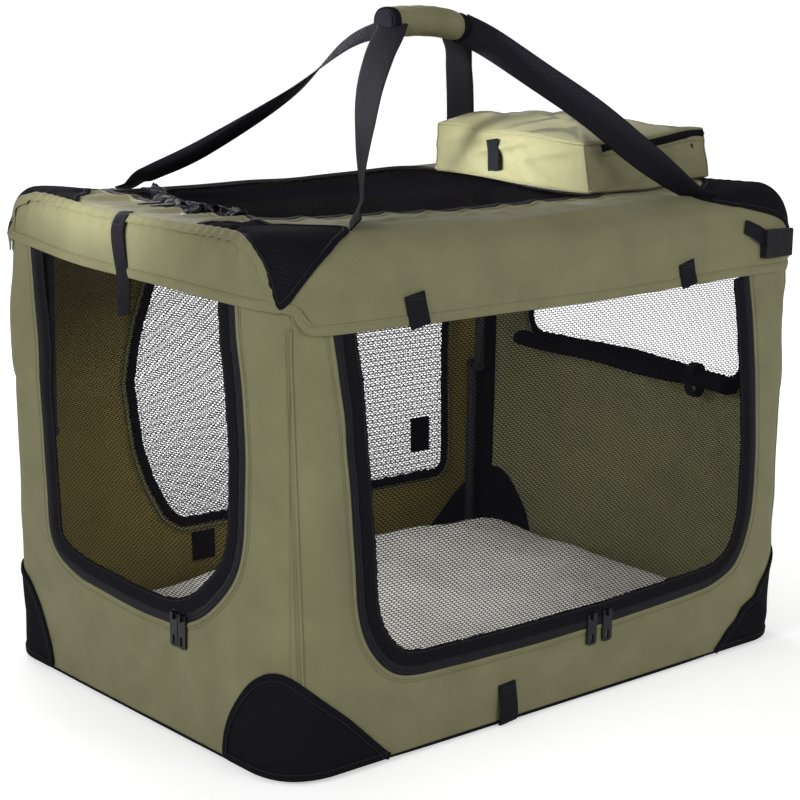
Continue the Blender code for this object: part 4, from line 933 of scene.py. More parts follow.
# %% Nets of the doors, the window and the hatch
def face_net(name, face, loop, proud):
    low, high = loop.min(0), loop.max(0)
    return net(name, (*low, *high), within(loop), lambda a, b: place_on(face, a, b, proud)[0], net_black)


for name, face, loop, depth, body, node in (
        ("front_door_net", "front", closed_door(FRONT_U, NET_LAP), DOOR_NET_IN, "front_door", "front_door"),
        ("left_end_door_net", "left", closed_door(END_U, NET_LAP), DOOR_NET_IN, "left_end_door",
         "left_end_door"),
        ("back_window_mesh", "back", eased(BACK_WINDOW, -6 * MM, closed=True), WINDOW_NET_IN, "root",
         "back_window_net")):
    on_wall[face].append(settle(face_net(name, face, loop, -depth), body, node))
hatch_loop = eased(HATCH, NET_LAP, closed=True)
hatch_net = net("top_hatch_net", (*hatch_loop.min(0), *hatch_loop.max(0)), within(hatch_loop),
                lambda a, b: np.stack([a, b, np.full(a.shape, TOP - DOOR_NET_IN)], 1), net_black,
                thread=2.95 * MM)
settle(hatch_net, "top_hatch", "top_hatch")

# %% [markdown]
# ## Zips and tapes round the nets
# Seen from outside inwards, the cloth's turned edge comes first, then the zip: a flat woven tape
# with a raised ridge where its coil lies under a flap, and then the wide brushed knit tape that
# binds the edge of the net. All of them follow the door's U.

# %% Trim of an opening
ZIP_SECTION = [(-6.5, 0), (-6.5, 0.8), (-3.4, 1.0), (-2.6, 2.3), (-0.6, 2.7), (-0.2, 1.5), (0.3, 1.5),
               (0.7, 2.6), (2.6, 2.2), (3.4, 1.0), (6.5, 0.8), (6.5, 0)]
ZIP_SECTION = np.array(ZIP_SECTION) * MM
# the turned cloth edge and its stitches, outwards from the zip's line
EDGE_AWAY, EDGE_ROW_AWAY = -7.5 * MM, -13 * MM


def on_face(face, proud=0.0):
    return lambda path: place_on(face, path[:, 0], path[:, 1], proud)


def on_top(path):
    points = np.stack([path[:, 0], path[:, 1], np.full(len(path), TOP)], 1)
    return points, np.tile((0.0, 0.0, 1.0), (len(path), 1))


def trim(name, path, carry, body, cloth_body, closed=False, knit=19 * MM, zipped=True):
    """The knit tape, the zip, the turned cloth edge and two rows of stitches of one opening."""
    fine = spaced(path, 4 * MM, closed)
    tape_away = (5 if zipped else -2) * MM + knit / 2
    ragged = eased(fine, tape_away, closed)
    ragged = ragged + rng.normal(0, 0.5 * MM, ragged.shape)
    flat_knit, turned = flat_section(knit, TAPE, 0.7 * MM), flat_section(5 * MM, TAPE, 0.5 * MM)
    edge, edge_row, knit_row = (carry(eased(fine, away, closed))
                                for away in (EDGE_AWAY, EDGE_ROW_AWAY, 5 * MM + knit * 0.82))
    made = [band(name + "_knit_tape", carry(ragged), flat_knit, knit_black, body, closed=closed)]
    if zipped:
        made.append(band(name + "_zip_tape", carry(fine), ZIP_SECTION, coil_black, cloth_body, closed=closed))
    made.append(band(name + "_turned_edge", edge, turned, olive_cloth, cloth_body, closed=closed))
    made.append(sewn(name + "_edge_stitches", edge_row, thread_olive, cloth_body, 0.3 * MM, closed))
    made.append(sewn(name + "_tape_stitches", knit_row, thread_black, body, 1.1 * MM, closed))
    return made


on_wall["front"] += trim("front_door", FRONT_U, on_face("front"), "front_door", "root")
on_wall["left"] += trim("left_end_door", END_U, on_face("left"), "left_end_door", "root")
trim("top_hatch", HATCH, on_top, "top_hatch", "top", closed=True, knit=11 * MM)
for face, name, loop in (("back", "back_window", BACK_WINDOW), ("right", "right_window", END_WINDOW)):
    on_wall[face] += trim(name, loop, on_face(face, -WINDOW_NET_IN), "root", "root", closed=True,
                          knit=12 * MM, zipped=False)
print("trim of the openings done")

# %% [markdown]
# ## Seams and hems
# The upright seams stand in the middle of each soft corner as a small ridge with a row of stitches
# beside it. The skirt has a turned hem with two rows, and the end bands have a piped top seam.

# %% Upright corner seams and the skirt's hem
LEAN, LEAN_TOP = 16 * MM, 0.46   # the seam at the front left leans out to its foot, from this height down
for face in RING:
    reach = seam_along(face)
    heights = np.linspace(FLOOR_TOP + 2 * MM, FRONT_HEM + 6 * MM, 90)
    tilt = LEAN * (1 - heights / LEAN_TOP).clip(0) * (face == "front")
    beside = place_on(face, -reach + tilt - (5 if face == "front" else -5) * MM, heights, 0.3 * MM)
    on_wall[face] += [band(face + "_corner_seam", place_on(face, -reach + tilt, heights),
                           round_section(1.5 * MM, 0.5 * MM, 10), olive_cloth, "root"),
                      sewn(face + "_corner_stitches", beside, thread_olive, "root")]


def round_hem(up_by, proud):
    points, normals = [], []
    for face in RING:
        mine = [k for k, f in enumerate(ring_faces) if f == face]
        placed = place_on(face, ring_along[mine], ring_hem[mine] + up_by, proud)
        points.append(placed[0])
        normals.append(placed[1])
    return np.vstack(points), np.vstack(normals)


band("skirt_hem", round_hem(5.5 * MM, 3.2 * MM), flat_section(11 * MM, 0.8 * MM, 0.3 * MM), olive_cloth,
     "top", closed=True)
for number, (up_by, proud) in enumerate(((8.2, 4.0), (10.2, 3.6))):
    sewn(f"skirt_stitches_{number + 1}", round_hem(up_by * MM, proud * MM), thread_olive, "top", closed=True)
print("hem of", len(ring_hem), "points")

# %% [markdown]
# The end bands meet the top in a piped seam, which is level in the middle and curves down to the
# upright seams. A turned edge and two rows of stitches follow it, and piping runs round the foot.

# %% Top seams of the end bands, and the piping at the foot
BAND_REACH, BAND_TIP, BAND_END = .2665, .507, .497
BAND_ALONG = np.concatenate([np.full(6, -BAND_REACH), np.linspace(-BAND_REACH, BAND_REACH, 200),
                             np.full(6, BAND_REACH)])
BAND_DROP = np.concatenate([np.linspace(BAND_END, BAND_TIP, 7)[:-1], np.zeros(200),
                            np.linspace(BAND_TIP, BAND_END, 7)[1:]])


def band_height(along):
    """The end band's top seam: level in the middle, and curved down to the upright seams."""
    reach = (0, .15, .175, .19, .203, .2155, .229, .239, .2465, .253, .2592, .263, .2665)
    crest = (.5788, .5788, .5788, .5783, .5773, .5735, .5683, .5615, .5538, .542, .5265, .516, .507)
    return np.interp(np.abs(along), reach, crest)


seam_path = np.stack([BAND_ALONG, np.where(BAND_DROP > 0, BAND_DROP, band_height(BAND_ALONG))], 1)
for face in ("left", "right"):
    band(face + "_band_edge", on_face(face, 2.6 * MM)(eased(seam_path[3:-3], -5.5 * MM)),
         flat_section(12 * MM, 1.0 * MM, 0.3 * MM), olive_cloth, "top")
    for number, away in enumerate((2.4, 8.8)):
        row = on_face(face, 3.8 * MM)(eased(seam_path[6:-6], -away * MM))
        sewn(f"{face}_band_stitches_{number + 1}", row, thread_olive, "top")
around = [place_on(face, np.linspace(-seam_along(face), seam_along(face), 60)[:-1], 5 * MM) for face in RING]
foot = [np.vstack(part) for part in zip(*around)]
band("bottom_piping", foot, round_section(1.3 * MM, 0.6 * MM, 10), canvas_black, "root", closed=True)
print("end bands and piping done")

# %% [markdown]
# Where the hatch's zip has been pushed back, its tape lies bunched in loops on the end of the top.

# %% Bunched zip
t = np.linspace(0, 1, 150)
BUNCHES = (((-.262, .176), (-.338, .020), 8), ((-.300, .110), (-.345, -.040), 7),
           ((-.325, -.010), (-.330, -.110), 5))
for number, (begin, end, size) in enumerate(BUNCHES):   # from, to and how far it wanders, in millimetres
    line = np.array(begin) + (np.array(end) - np.array(begin)) * t[:, None]
    x = line[:, 0] + size * MM * np.sin(t * 23 + number) + 3 * MM * np.sin(t * 51)
    y = line[:, 1] + 4 * MM * np.sin(t * 37 + 2 * number)
    z = TOP + (4.0 + 3.2 * np.sin(t * 29 + 1.7 * number) + 1.0 * np.sin(t * 67)) * MM
    facing = np.stack([0.9 * np.sin(t * 31 + number), 0.5 * np.sin(t * 19), np.full(150, 1.0)], 1)
    facing /= np.linalg.norm(facing, axis=1, keepdims=True)
    band(f"bunched_zip_{number + 1}", (np.stack([x, y, z], 1), facing), ZIP_SECTION * np.array([1.0, 0.8]),
         coil_black, "top")
print("bunched zip done")

# %% [markdown]
# ## Corner patches
# Black canvas guards all eight corners. A foot patch is cut in the flat and wraps round the upright
# corner, so its outline is given on the wall's own pattern. Its edge is bound with a folded tape.

# %% Foot patches
FOOT_CUT = np.array([(-.496, .0045), (-.491, .030), (-.480, .058), (-.462, .084), (-.440, .108),
                     (-.420, .122), (-.404, .124), (-.388, .114), (-.360, .089), (-.330, .064),
                     (-.300, .036), (-.266, .0045)])
PATCH_PROUD = 2.2 * MM
CORNERS = {"front_left": ("front", 1), "front_right": ("front", -1), "back_right": ("back", 1),
           "back_left": ("back", -1)}


def fan(name, outline, lay, finish, rows=14):
    """A patch that fills an outline, with rows from its middle out to its edge."""
    centre = outline.mean(0)
    loop = np.vstack([outline, outline[:1]])
    count = len(outline)

    def cut(u, v):
        return centre + (loop[np.rint(u * count).astype(int)] - centre) * v[:, None]
    return sheet(name, count, rows, lambda u, v: lay(cut(u, v)), lambda u, v: tuple(cut(u, v)[:, :2].T),
                 finish, flip=True)


def softened(outline, step=6 * MM, rounds=3):
    loop = spaced(outline, step, closed=True)
    for _ in range(rounds):
        loop = (np.roll(loop, 1, 0) + 2 * loop + np.roll(loop, -1, 0)) / 4
    return loop


def foot_patch(corner, name, proud, thickness):
    face, hand = CORNERS[corner]
    outline = (softened(FOOT_CUT) * np.array([hand, 1]))[::-hand]
    patch = fan(corner + name, outline, lambda ab: place_on(face, ab[:, 0], ab[:, 1], proud)[0], canvas_black)
    return thicken(patch, thickness), outline


for corner, (face, hand) in CORNERS.items():
    patch, outline = foot_patch(corner, "_foot_canvas", PATCH_PROUD, CANVAS)
    bound = on_face(face, PATCH_PROUD)(eased(outline, 4.5 * MM, closed=True))
    row = on_face(face, PATCH_PROUD + 1.2 * MM)(eased(outline, 7.6 * MM, closed=True))
    on_wall["feet"] += [settle(patch, "root", corner + "_foot_patch"),
                        band(corner + "_foot_binding", bound, flat_section(9 * MM, 1.0 * MM, 0.5 * MM),
                             zip_tape_black, "root", closed=True),
                        sewn(corner + "_foot_stitches", row, thread_black, "root", closed=True)]
for corner in CORNERS:   # the same canvas lines the corner inside, under the mat's edge
    patch, _ = foot_patch(corner, "_inner_canvas", -2.6 * MM, 0.8 * MM)
    on_wall["feet"].append(settle(patch, "root"))
print("foot patches done")

# %% [markdown]
# A top patch covers a corner where three faces meet. It is a curved triangle: one tip on the long
# roll, one on the end's top seam and one down the upright seam. Its points are thrown on to the
# finished cover from outside, so it lies on every fold under it.

# %% Top patches
cover_tree = BVHTree.FromPolygons([tuple(p) for p in corners_of(cover)],
                                  [tuple(f.vertices) for f in cover.data.polygons])


def thrown(points, heart, proud=0.0):
    """Each point moved along its line from the heart on to the cover, and the outward direction there."""
    landed, facing = [], []
    for p in np.asarray(points, float):
        way = Vector(p - heart).normalized()
        spot, normal, _, _ = cover_tree.ray_cast(Vector(heart) + way * 0.5, -way)
        if spot is None:
            spot, normal, _, _ = cover_tree.find_nearest(Vector(p))
        if normal.dot(way) < 0:
            normal = -normal
        landed.append(spot + normal * proud)
        facing.append(normal)
    return np.array(landed), np.array(facing)


# Edge points for the front left corner: along the end's seam, then up over the front to the tip.
# The other corners are mirrored, and two of them have their tip further along the long roll.
seam_side = np.array([.118, .14, .17, .19, .203, .2155, .229, .239, .2465, .253, .2592, .263, .266])
seam_points = place_on("left", seam_side, band_height(seam_side) - 3.5 * MM)[0]
TOP_CUT = np.vstack([seam_points, [(-.4020, -.279, .5143), (-.3912, -.285, .531),
                                   (-.3711, -.282, .546), (-.3425, -.2745, .5628),
                                   (-.3274, -.267, .5708), (-.3020, -.254, .578),
                                   (-.2960, -.242, .580), (-.3250, -.214, .579),
                                   (-.3600, -.172, .580), (-.3900, -.132, .580)]])
TIP_REACH = {"front_left": 0, "front_right": 48 * MM, "back_left": 44 * MM, "back_right": 0}
for corner in CORNERS:
    hand = np.array([1 if "left" in corner else -1, 1 if "front" in corner else -1, 1])
    heart = np.array((-.335, -.195, .500)) * hand
    cut = TOP_CUT.copy()
    cut[:, 0] += TIP_REACH[corner] * ramp(cut[:, 0], -.385, -.302)
    outline = (softened(cut, 3 * MM, 2) * hand)[::hand[0] * hand[1]]
    patch = fan(corner + "_top_canvas", outline, lambda p: thrown(p, heart, 1.2 * MM)[0], canvas_black,
                rows=16)
    settle(thicken(patch, CANVAS), "top", corner + "_top_patch", hung=False)
    inwards = outline.mean(0) - outline
    inwards /= np.linalg.norm(inwards, axis=1, keepdims=True)
    band(corner + "_top_binding", thrown(outline + inwards * 4 * MM, heart, 0.9 * MM),
         flat_section(8 * MM, TAPE, 0.5 * MM), zip_tape_black, "top", closed=True, hung=False)
    sewn(corner + "_top_stitches", thrown(outline + inwards * 7 * MM, heart, 2.2 * MM), thread_black, "top",
         closed=True, hung=False)
print("top patches done")

# %% [markdown]
# ## Carry straps and grip
# Four lengths of webbing run up from the top patches into the padded grip. Each one twists on its
# way, so some stretches show their face and others only their edge. The turn of the webbing is given
# against the line of sight of the camera, where 0 shows its face and 90 its edge.

# %% Straps
STRAP_WIDTH, STRAP_THICKNESS = 38 * MM, 1.5 * MM
STRAP_FOOT, STRAP_KEEP = 7 * MM, 0.72   # sewn down to this height, and a share of the strap's length


def strap(name, knots, count=90):
    """Knots are (x, y, z, turn in degrees)."""
    line = smooth_line(knots, count)
    points, turns = line[:, :3], np.radians(line[:, 3])
    tangent = np.gradient(points, axis=0)
    tangent /= np.linalg.norm(tangent, axis=1, keepdims=True)
    sight = np.tile(np.array(VIEW), (count, 1))
    across = np.cross(tangent, sight)
    across /= np.linalg.norm(across, axis=1, keepdims=True)
    deep = np.cross(across, tangent)
    width_way = across * np.cos(turns)[:, None] + deep * np.sin(turns)[:, None]
    normals = np.cross(tangent, width_way)
    section = flat_section(STRAP_WIDTH, STRAP_THICKNESS, 0.25 * MM, -STRAP_THICKNESS / 2)
    return drawn(name, points, normals, section, webbing_black)


grip_low, grip_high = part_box("grip")
GRIP_Z = (grip_low.z + grip_high.z) / 2
left_mouth, right_mouth = grip_low.x - 5 * MM, grip_high.x - 17 * MM
STRAPS = {
    "front_left_strap": [(-.298, -.2500, .5775, 60), (-.2824, -.2355, .5881, 76),
                         (-.2536, -.2134, .6086, 86), (-.1952, -.1478, .6624, 58),
                         (-.1429, -.0921, .7089, 35), (-.0942, -.0501, .7463, 22),
                         (-.0564, -.0231, .7720, 18), (-.038, -.008, .783, 18)],
    "back_left_strap": [(-.268, .2480, .5800, 84), (-.2534, .2394, .5830, 96),
                        (-.2439, .2289, .5930, 106), (-.2317, .2160, .6008, 112),
                        (-.1886, .1699, .6316, 114), (-.1168, .0922, .6980, 97),
                        (-.0696, .0400, .7589, 62), (-.036, .0060, .780, 45)],
    "front_right_strap": [(.272, -.2520, .5785, 74), (.2500, -.2400, .5860, 66),
                          (.2119, -.1900, .6301, 24), (.1745, -.1358, .6804, 0),
                          (.1364, -.0821, .7225, -4), (.1002, -.0314, .7613, 2),
                          (.074, -.0060, .7790, 10)],
    "back_right_strap": [(.300, .2500, .5860, 10), (.2687, .2073, .6130, 14),
                         (.2225, .1539, .6530, 20), (.1788, .1073, .6910, 26),
                         (.1396, .0673, .7250, 34), (.1094, .0370, .7510, 40),
                         (.074, .0060, .7740, 48)],
}
for name, knots in STRAPS.items():
    node = name.split("_")[0] + "_carry_strap"
    piece = settle(strap(name, knots), "top", node, hung=False)
    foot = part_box(node)[0].z + STRAP_FOOT
    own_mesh(piece)
print("straps done")

# %% [markdown]
# The grip is a padded sleeve of the olive cloth, closed round the straps, with black tape bound over
# its two mouths. It arches a little, its right end droops, and the tape pinches it in.

# %% Grip
GRIP_HALF_WIDTH, GRIP_HALF_HEIGHT = 18.5 * MM, 19.0 * MM


def grip_line(count, grow=0.0):
    x = np.linspace(left_mouth - grow, right_mouth + grow, count)
    t = (x - left_mouth) / (right_mouth - left_mouth)
    lift = 2.5 * MM * np.sin(math.pi * t.clip(0, 1)) - 5 * MM * t.clip(0, 1) ** 3 - 4.5 * MM
    return np.stack([x, np.zeros(count), GRIP_Z - 1 * MM + lift], 1), t


points, t = grip_line(56)
sides = 40
angle = np.linspace(0, math.tau, sides + 1)


def grip_skin(u, v):
    i = np.rint(u * (len(points) - 1)).astype(int)
    a = v * math.tau
    pinch = 1 - 0.16 * np.exp(-(t[i] / 0.05) ** 2) - 0.20 * np.exp(-((1 - t[i]) / 0.07) ** 2)
    crease = 1 + 0.020 * np.sin(5 * a + 9 * t[i]) * np.sin(17 * t[i] + 2 * a) + 0.012 * np.sin(31 * t[i] + a)
    y, z = GRIP_HALF_WIDTH * np.cos(a) * pinch * crease, GRIP_HALF_HEIGHT * np.sin(a) * pinch * crease
    z = np.where(z < 0, z * 0.92, z)
    return points[i] + np.stack([np.zeros(len(a)), -y, z], 1)


grip = sheet("padded_grip_sleeve", len(points) - 1, sides, grip_skin, lambda u, v: (u * 0.134, v * 0.12),
             olive_cloth)
face_outwards(capped=True)
settle(grip, "handle", "grip", hung=False)
ring_angle = np.linspace(0, math.tau, 36, endpoint=False)
radial = np.stack([np.zeros(36), np.cos(ring_angle), np.sin(ring_angle)], 1)
wavy = 0.6 * MM * np.sin(3 * ring_angle)[:, None]
# each mouth: its side, its way along x, its place, then the binding's inset, radius, width and drop
MOUTHS = (("left", -1, left_mouth, 4, 17.6, 13, -5.5), ("right", 1, right_mouth, 3.5, 16.2, 8, -10.5))
for side, way, mouth, inset, radius, wide, drop in MOUTHS:
    loop = np.array([mouth - way * inset * MM, 0, GRIP_Z + drop * MM]) + radial * (radius * MM + wavy)
    band(f"grip_{side}_binding", (loop, radial), flat_section(wide * MM, 1.6 * MM, 0.8 * MM), canvas_black,
         "handle", closed=True, hung=False)
for side, way, mouth, *_, drop in MOUTHS:
    def plug_at(ab):
        crowned = mouth - way * 0.5 * MM + way * (6.0 * MM - 9 * (ab ** 2).sum(1))
        return np.stack([crowned, ab[:, 0], GRIP_Z + drop * MM + ab[:, 1]], 1)
    plug = fan(f"grip_{side}_plug", (16.5 * MM * radial[:, 1:])[::way], plug_at, webbing_black, rows=6)
    settle(thicken(plug, CANVAS), "handle", hung=False)
seam_points = grip_line(50, -8 * MM)[0] - (0, 0, 17.0 * MM)
sewn("grip_seam_stitches", (seam_points, np.tile((0.0, 0.0, -1.0), (50, 1))), thread_olive, "handle",
     hung=False)
print("grip", [round(x, 3) for x in grip.dimensions])

# %% [markdown]
# ## Small webbing pieces
# A long strap hangs from the end band, two short tabs hold the rolled front door, and a loop at the
# bottom takes a ground peg. All are lengths of the same webbing, turned under and box-stitched.

# %% Hanging strap, tabs and loop
def sewn_box(name, carry, low_a, high_a, low_b, high_b, body):
    loop = np.array([(low_a, low_b), (high_a, low_b), (high_a, high_b), (low_a, high_b)])
    return sewn(name, carry(spaced(loop, 2 * MM, closed=True)), thread_black, body, closed=True)


hanger_low, hanger_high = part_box("left_hanging_strap")
heights = np.linspace(0.5800, hanger_low.z - 2 * MM, 60)
t = np.linspace(0, 1, 60)
middle = -1 * MM
WIDE_WEBBING, HANGER_WEBBING = 27 * MM, 25 * MM
placed = place_on("left", middle + (22 * t - 15) * MM, heights,
                  (2.6 + 3.0 * t ** 2 + 1.0 * np.sin(t * 7)) * MM)
hanger = band("end_hanging_strap", placed, flat_section(HANGER_WEBBING, 1.6 * MM, 0.3 * MM), webbing_black,
              "top", "left_hanging_strap")
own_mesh(hanger)
sewn_box("hanging_strap_stitches", on_face("left", 5.4 * MM), middle - 23 * MM, middle - 5 * MM, 0.564,
         0.574, "top")
for side in ("left", "right"):
    low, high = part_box(side + "_toggle_tab")
    middle = (low.x + high.x) / 2 + (-8 if side == "left" else -19) * MM
    heights = np.linspace(high.z, low.z - (6 if side == "left" else 0) * MM, 16)
    t = np.linspace(0, 1, 16)
    placed = place_on("front", middle - 3 * MM + 7 * MM * t, heights, (3.2 + 2.6 * t ** 2) * MM)
    band(side + "_toggle_webbing", placed, flat_section(WIDE_WEBBING, 1.8 * MM, 0.3 * MM), webbing_black,
         "top", side + "_toggle_tab")
    sewn_box(side + "_toggle_stitches", on_face("front", 5.2 * MM), middle - 12 * MM, middle + 6 * MM,
             high.z - 6 * MM, high.z - 2 * MM, "top")
low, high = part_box("front_ground_loop")
middle = (low.x + high.x) / 2 - 6 * MM
run = np.array([(0.9, high.z + 6 * MM), (1.6, high.z + 1 * MM), (3.2, high.z - 10 * MM), (4.6, 0.024),
                (5.4, 0.014), (5.0, 0.008), (3.6, 0.0050), (2.2, 0.0042)])
line = smooth_line(np.stack([run[:, 0] * MM, run[:, 1]], 1), 50)
points, normals = place_on("front", middle + 2 * MM * np.linspace(0, 1, 50), line[:, 1], 0)
points = points + np.array((0, -1, 0)) * (line[:, :1] + 1.0 * MM)
facing = np.array((0.0, -1.0, 0.0)) + np.linspace(0, 1, 50)[:, None] ** 8 * np.array((0, 0, -1.2))
band("ground_peg_loop", (points, facing), flat_section(WIDE_WEBBING, 2.0 * MM, 0.3 * MM), webbing_black,
     "root", "front_ground_loop", hung=False)
sewn_box("loop_stitches", on_face("front", 3.8 * MM), middle - 9 * MM, middle + 9 * MM, high.z - 4 * MM,
         high.z + 2 * MM, "root")
print("webbing pieces done")

# %% [markdown]
# ## Pouch on the top
# The pouch is a soft box. Its sides lean and dent, its seams are sharp and piped, and its lid is a
# separate padded-looking cloth that domes up and wrinkles where the zip has pulled it.

# %% Outline of the pouch
body_low, body_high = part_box("pouch_body")
POUCH_X0, POUCH_X1 = body_low.x - 40 * MM, body_high.x - 2 * MM
POUCH_Y0, POUCH_Y1 = body_low.y - 14 * MM, body_high.y - 16 * MM
POUCH_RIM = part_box("pouch_lid")[0].z + 1 * MM
POUCH_CORNER = 6 * MM
half_x, half_y = (POUCH_X1 - POUCH_X0) / 2, (POUCH_Y1 - POUCH_Y0) / 2
POUCH_MIDDLE = np.array(((POUCH_X0 + POUCH_X1) / 2, (POUCH_Y0 + POUCH_Y1) / 2))
quarters = [arc(a * (half_x - POUCH_CORNER), b * (half_y - POUCH_CORNER), POUCH_CORNER, begin, begin + 90)
            for a, b, begin in ((1, 1, 0), (-1, 1, 90), (-1, -1, 180), (1, -1, 270))]
POUCH_LOOP = spaced(np.vstack([[(half_x, 0)], *quarters]), 1.5 * MM, closed=True)
POUCH_OUT = eased(POUCH_LOOP, -1.0, closed=True) - POUCH_LOOP
print("pouch", round(POUCH_X1 - POUCH_X0, 3), "by", round(POUCH_Y1 - POUCH_Y0, 3), "m")

# %% [markdown]
# A place on its side is given by an angle round it and a height. Two sets of sharp waves that cross
# each other make the crushed look of thin cloth that nothing fills.

# %% Pouch side
def pouch_at(angle, height, proud=0.0, facing=False):
    """A point on the pouch's side: the angle runs from +X, the height from 0 (foot) to 1 (rim)."""
    k = (np.asarray(angle) / math.tau % 1) * len(POUCH_LOOP)
    known = np.arange(len(POUCH_LOOP) + 1)
    loop, away = (np.vstack([a, a[:1]]) for a in (POUCH_LOOP, POUCH_OUT))
    x, y = (np.interp(k, known, loop[:, n]) for n in (0, 1))
    away = np.stack([np.interp(k, known, away[:, n]) for n in (0, 1)], -1)
    if facing:
        return np.stack([away[..., 0], away[..., 1], 0 * x], -1)
    a, b = x / half_x, y / half_y
    x, y = x + POUCH_MIDDLE[0], y + POUCH_MIDDLE[1]
    z = body_low.z + 0.5 * MM + (POUCH_RIM - body_low.z) * height
    edge = np.clip(1 - np.minimum(np.abs(a), np.abs(b)), 0, 1) ** 0.4
    swell = np.sin(math.pi * height) ** 0.7 * edge
    crease = 1 - 2 * np.abs(np.sin(34 * y + 1.6 * np.sin(70 * z) + 20 * x + 45 * z))
    small = 1 - 2 * np.abs(np.sin(83 * y - 70 * z + 45 * x + 1.5 * np.sin(40 * y)))
    dent = (2.0 * swell + 3.2 * swell * crease + 1.7 * swell * small - 1.5 * height) * MM
    lean, wave = 6 * MM * height * (1 - b), 1.5 * MM * np.sin(37 * y + 20 * x) * height
    push = dent + proud
    place = np.stack([x + away[..., 0] * push, y + away[..., 1] * push + lean, z + wave], -1)
    place[..., 2] += stand(place)
    return place


pouch_side = sheet("pouch_side_cloth", 280, 22, lambda u, v: pouch_at(u * math.tau, v),
                   lambda u, v: (u * 0.95, v * 0.06), olive_cloth)
settle(thicken(pouch_side, CLOTH, lining_cloth), "top", "pouch_body", hung=False)
print(pouch_side.name, len(pouch_side.data.polygons), "faces")

# %% [markdown]
# The lid is made as rings round its middle. Its rim is the side's own rim, so the two always meet.

# %% Pouch lid
def lid_at(u, v):
    """The lid as rings round its middle, from 0 at the middle to 1 at the rim."""
    angle, ring = u * math.tau, v
    rim = pouch_at(angle, np.ones_like(angle), 0.5 * MM)
    centre = np.array([*POUCH_MIDDLE, 0])
    point = centre + (rim - centre) * ring[:, None]
    x, y = point[:, 0], point[:, 1]
    a, b = (x - centre[0]) / half_x, (y - centre[1]) / half_y
    dome = 15 * MM * np.clip(1 - ring ** 3, 0, 1) * (1 + 0.45 * b - 0.35 * a)
    wrinkle = np.sin(78 * x + 46 * y + 2.5 * np.sin(31 * y))
    wrinkle += 0.7 * np.sin(120 * x - 33 * y + 2 * np.sin(50 * x))
    pinch = np.exp(-(((x - POUCH_X0) / 0.07) ** 2 + ((y - POUCH_Y0 - 0.03) / 0.05) ** 2))
    wrinkle *= 1.9 * MM * np.clip(1 - ring ** 4, 0, 1)
    level = rim[:, 2].mean()
    point[:, 2] = level + (rim[:, 2] - level) * ring ** 2 + 1.5 * MM + dome + wrinkle
    point[:, 2] -= 6 * MM * pinch * (1 - ring)
    return point


lid = sheet("pouch_lid_cloth", 280, 34, lid_at,
            lambda u, v: (0.1 * np.cos(u * math.tau) * v, 0.15 * np.sin(u * math.tau) * v), olive_cloth,
            flip=True)
settle(thicken(lid, CLOTH, lining_cloth), "pouch_lid", "pouch_lid", hung=False)
print(lid.name, [round(x, 3) for x in lid.dimensions])

# %% [markdown]
# Rolled seams run round the rim, round the foot and up the four corners. The zip goes round the near
# side, and a bare tab of tape hangs beside it to be held while the zip is pulled.

# %% Seams, zip and tab of the pouch
def pouch_ring(begin, end, height, proud, count=240):
    angle = np.linspace(begin, end, count)
    return pouch_at(angle, np.full(count, height), proud), pouch_at(angle, 0, facing=True)


for name, height, proud, radius, body in (("pouch_rim_seam", 0.995, 0.4, 1.5, "pouch_lid"),
                                          ("pouch_foot_seam", 0.04, 0.6, 1.4, "top")):
    placed = [part[:-1] for part in pouch_ring(0, math.tau, height, proud * MM, 281)]
    band(name, placed, round_section(radius * MM), olive_cloth, body, closed=True, hung=False)
ZIP_BEGIN, ZIP_END = -0.66 * math.pi, 0.25 * math.pi
band("pouch_zip_tape", pouch_ring(ZIP_BEGIN, ZIP_END, 0.90, 0.6 * MM), ZIP_SECTION * np.array([0.75, 1.0]),
     zip_tape_black, "top", hung=False)
sewn("pouch_zip_stitches", pouch_ring(ZIP_BEGIN, ZIP_END, 0.76, 0.8 * MM), thread_olive, "top", hung=False)
heights = np.linspace(0.02, 1.0, 24)
for number, (a, b) in enumerate(((1, 1), (-1, 1), (-1, -1), (1, -1))):   # a seam stands at each corner
    nearest = np.argmin(np.linalg.norm(POUCH_LOOP - (a * half_x, b * half_y), axis=1))
    spots = np.full(24, nearest / len(POUCH_LOOP) * math.tau)
    placed = pouch_at(spots, heights, 0.5 * MM), pouch_at(spots, heights * 0, facing=True)
    band(f"pouch_corner_seam_{number + 1}", placed, round_section(1.3 * MM), olive_cloth, "top", hung=False)
low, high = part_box("pouch_tab")
middle = (low.y + high.y) / 2 - 30 * MM
t = np.linspace(0, 1, 24)
spot = math.tau * (0.5 - (middle - POUCH_MIDDLE[1]) / (4 * (half_x + half_y)))
base = pouch_at(np.full(24, spot), 0.86 - 0.66 * t, 1.6 * MM)
base[:, 0] = base[:, 0].min() + 1.0 * MM * np.sin(t * 5)
base[:, 1] -= 3 * MM * t
band("pouch_pull_tab", (base, np.tile((-1.0, 0.0, 0.0), (24, 1))), flat_section(21 * MM, 1.2 * MM, 0.4 * MM),
     knit_black, "top", "pouch_tab", hung=False)
print("pouch seams done")

# %% [markdown]
# ## Inside
# The mat is a fleece pad with a rounded, rolled edge and a soft quilted swell. It is one closed form:
# a top and a bottom sheet whose rims meet. It lies flat on the floor and rises in the middle.

# %% Sleeping mat
mat_low, mat_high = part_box("sleeping_mat")
mat_x, mat_y, mat_z = mat_high.x, mat_high.y, mat_high.z - mat_low.z


def soft_square(angle, sharp=5.0):
    """A rounded square from -1 to 1: the higher the sharpness, the tighter its corners."""
    c, s = np.cos(angle), np.sin(angle)
    size = (np.abs(c) ** sharp + np.abs(s) ** sharp) ** (-1 / sharp)
    return c * size, s * size


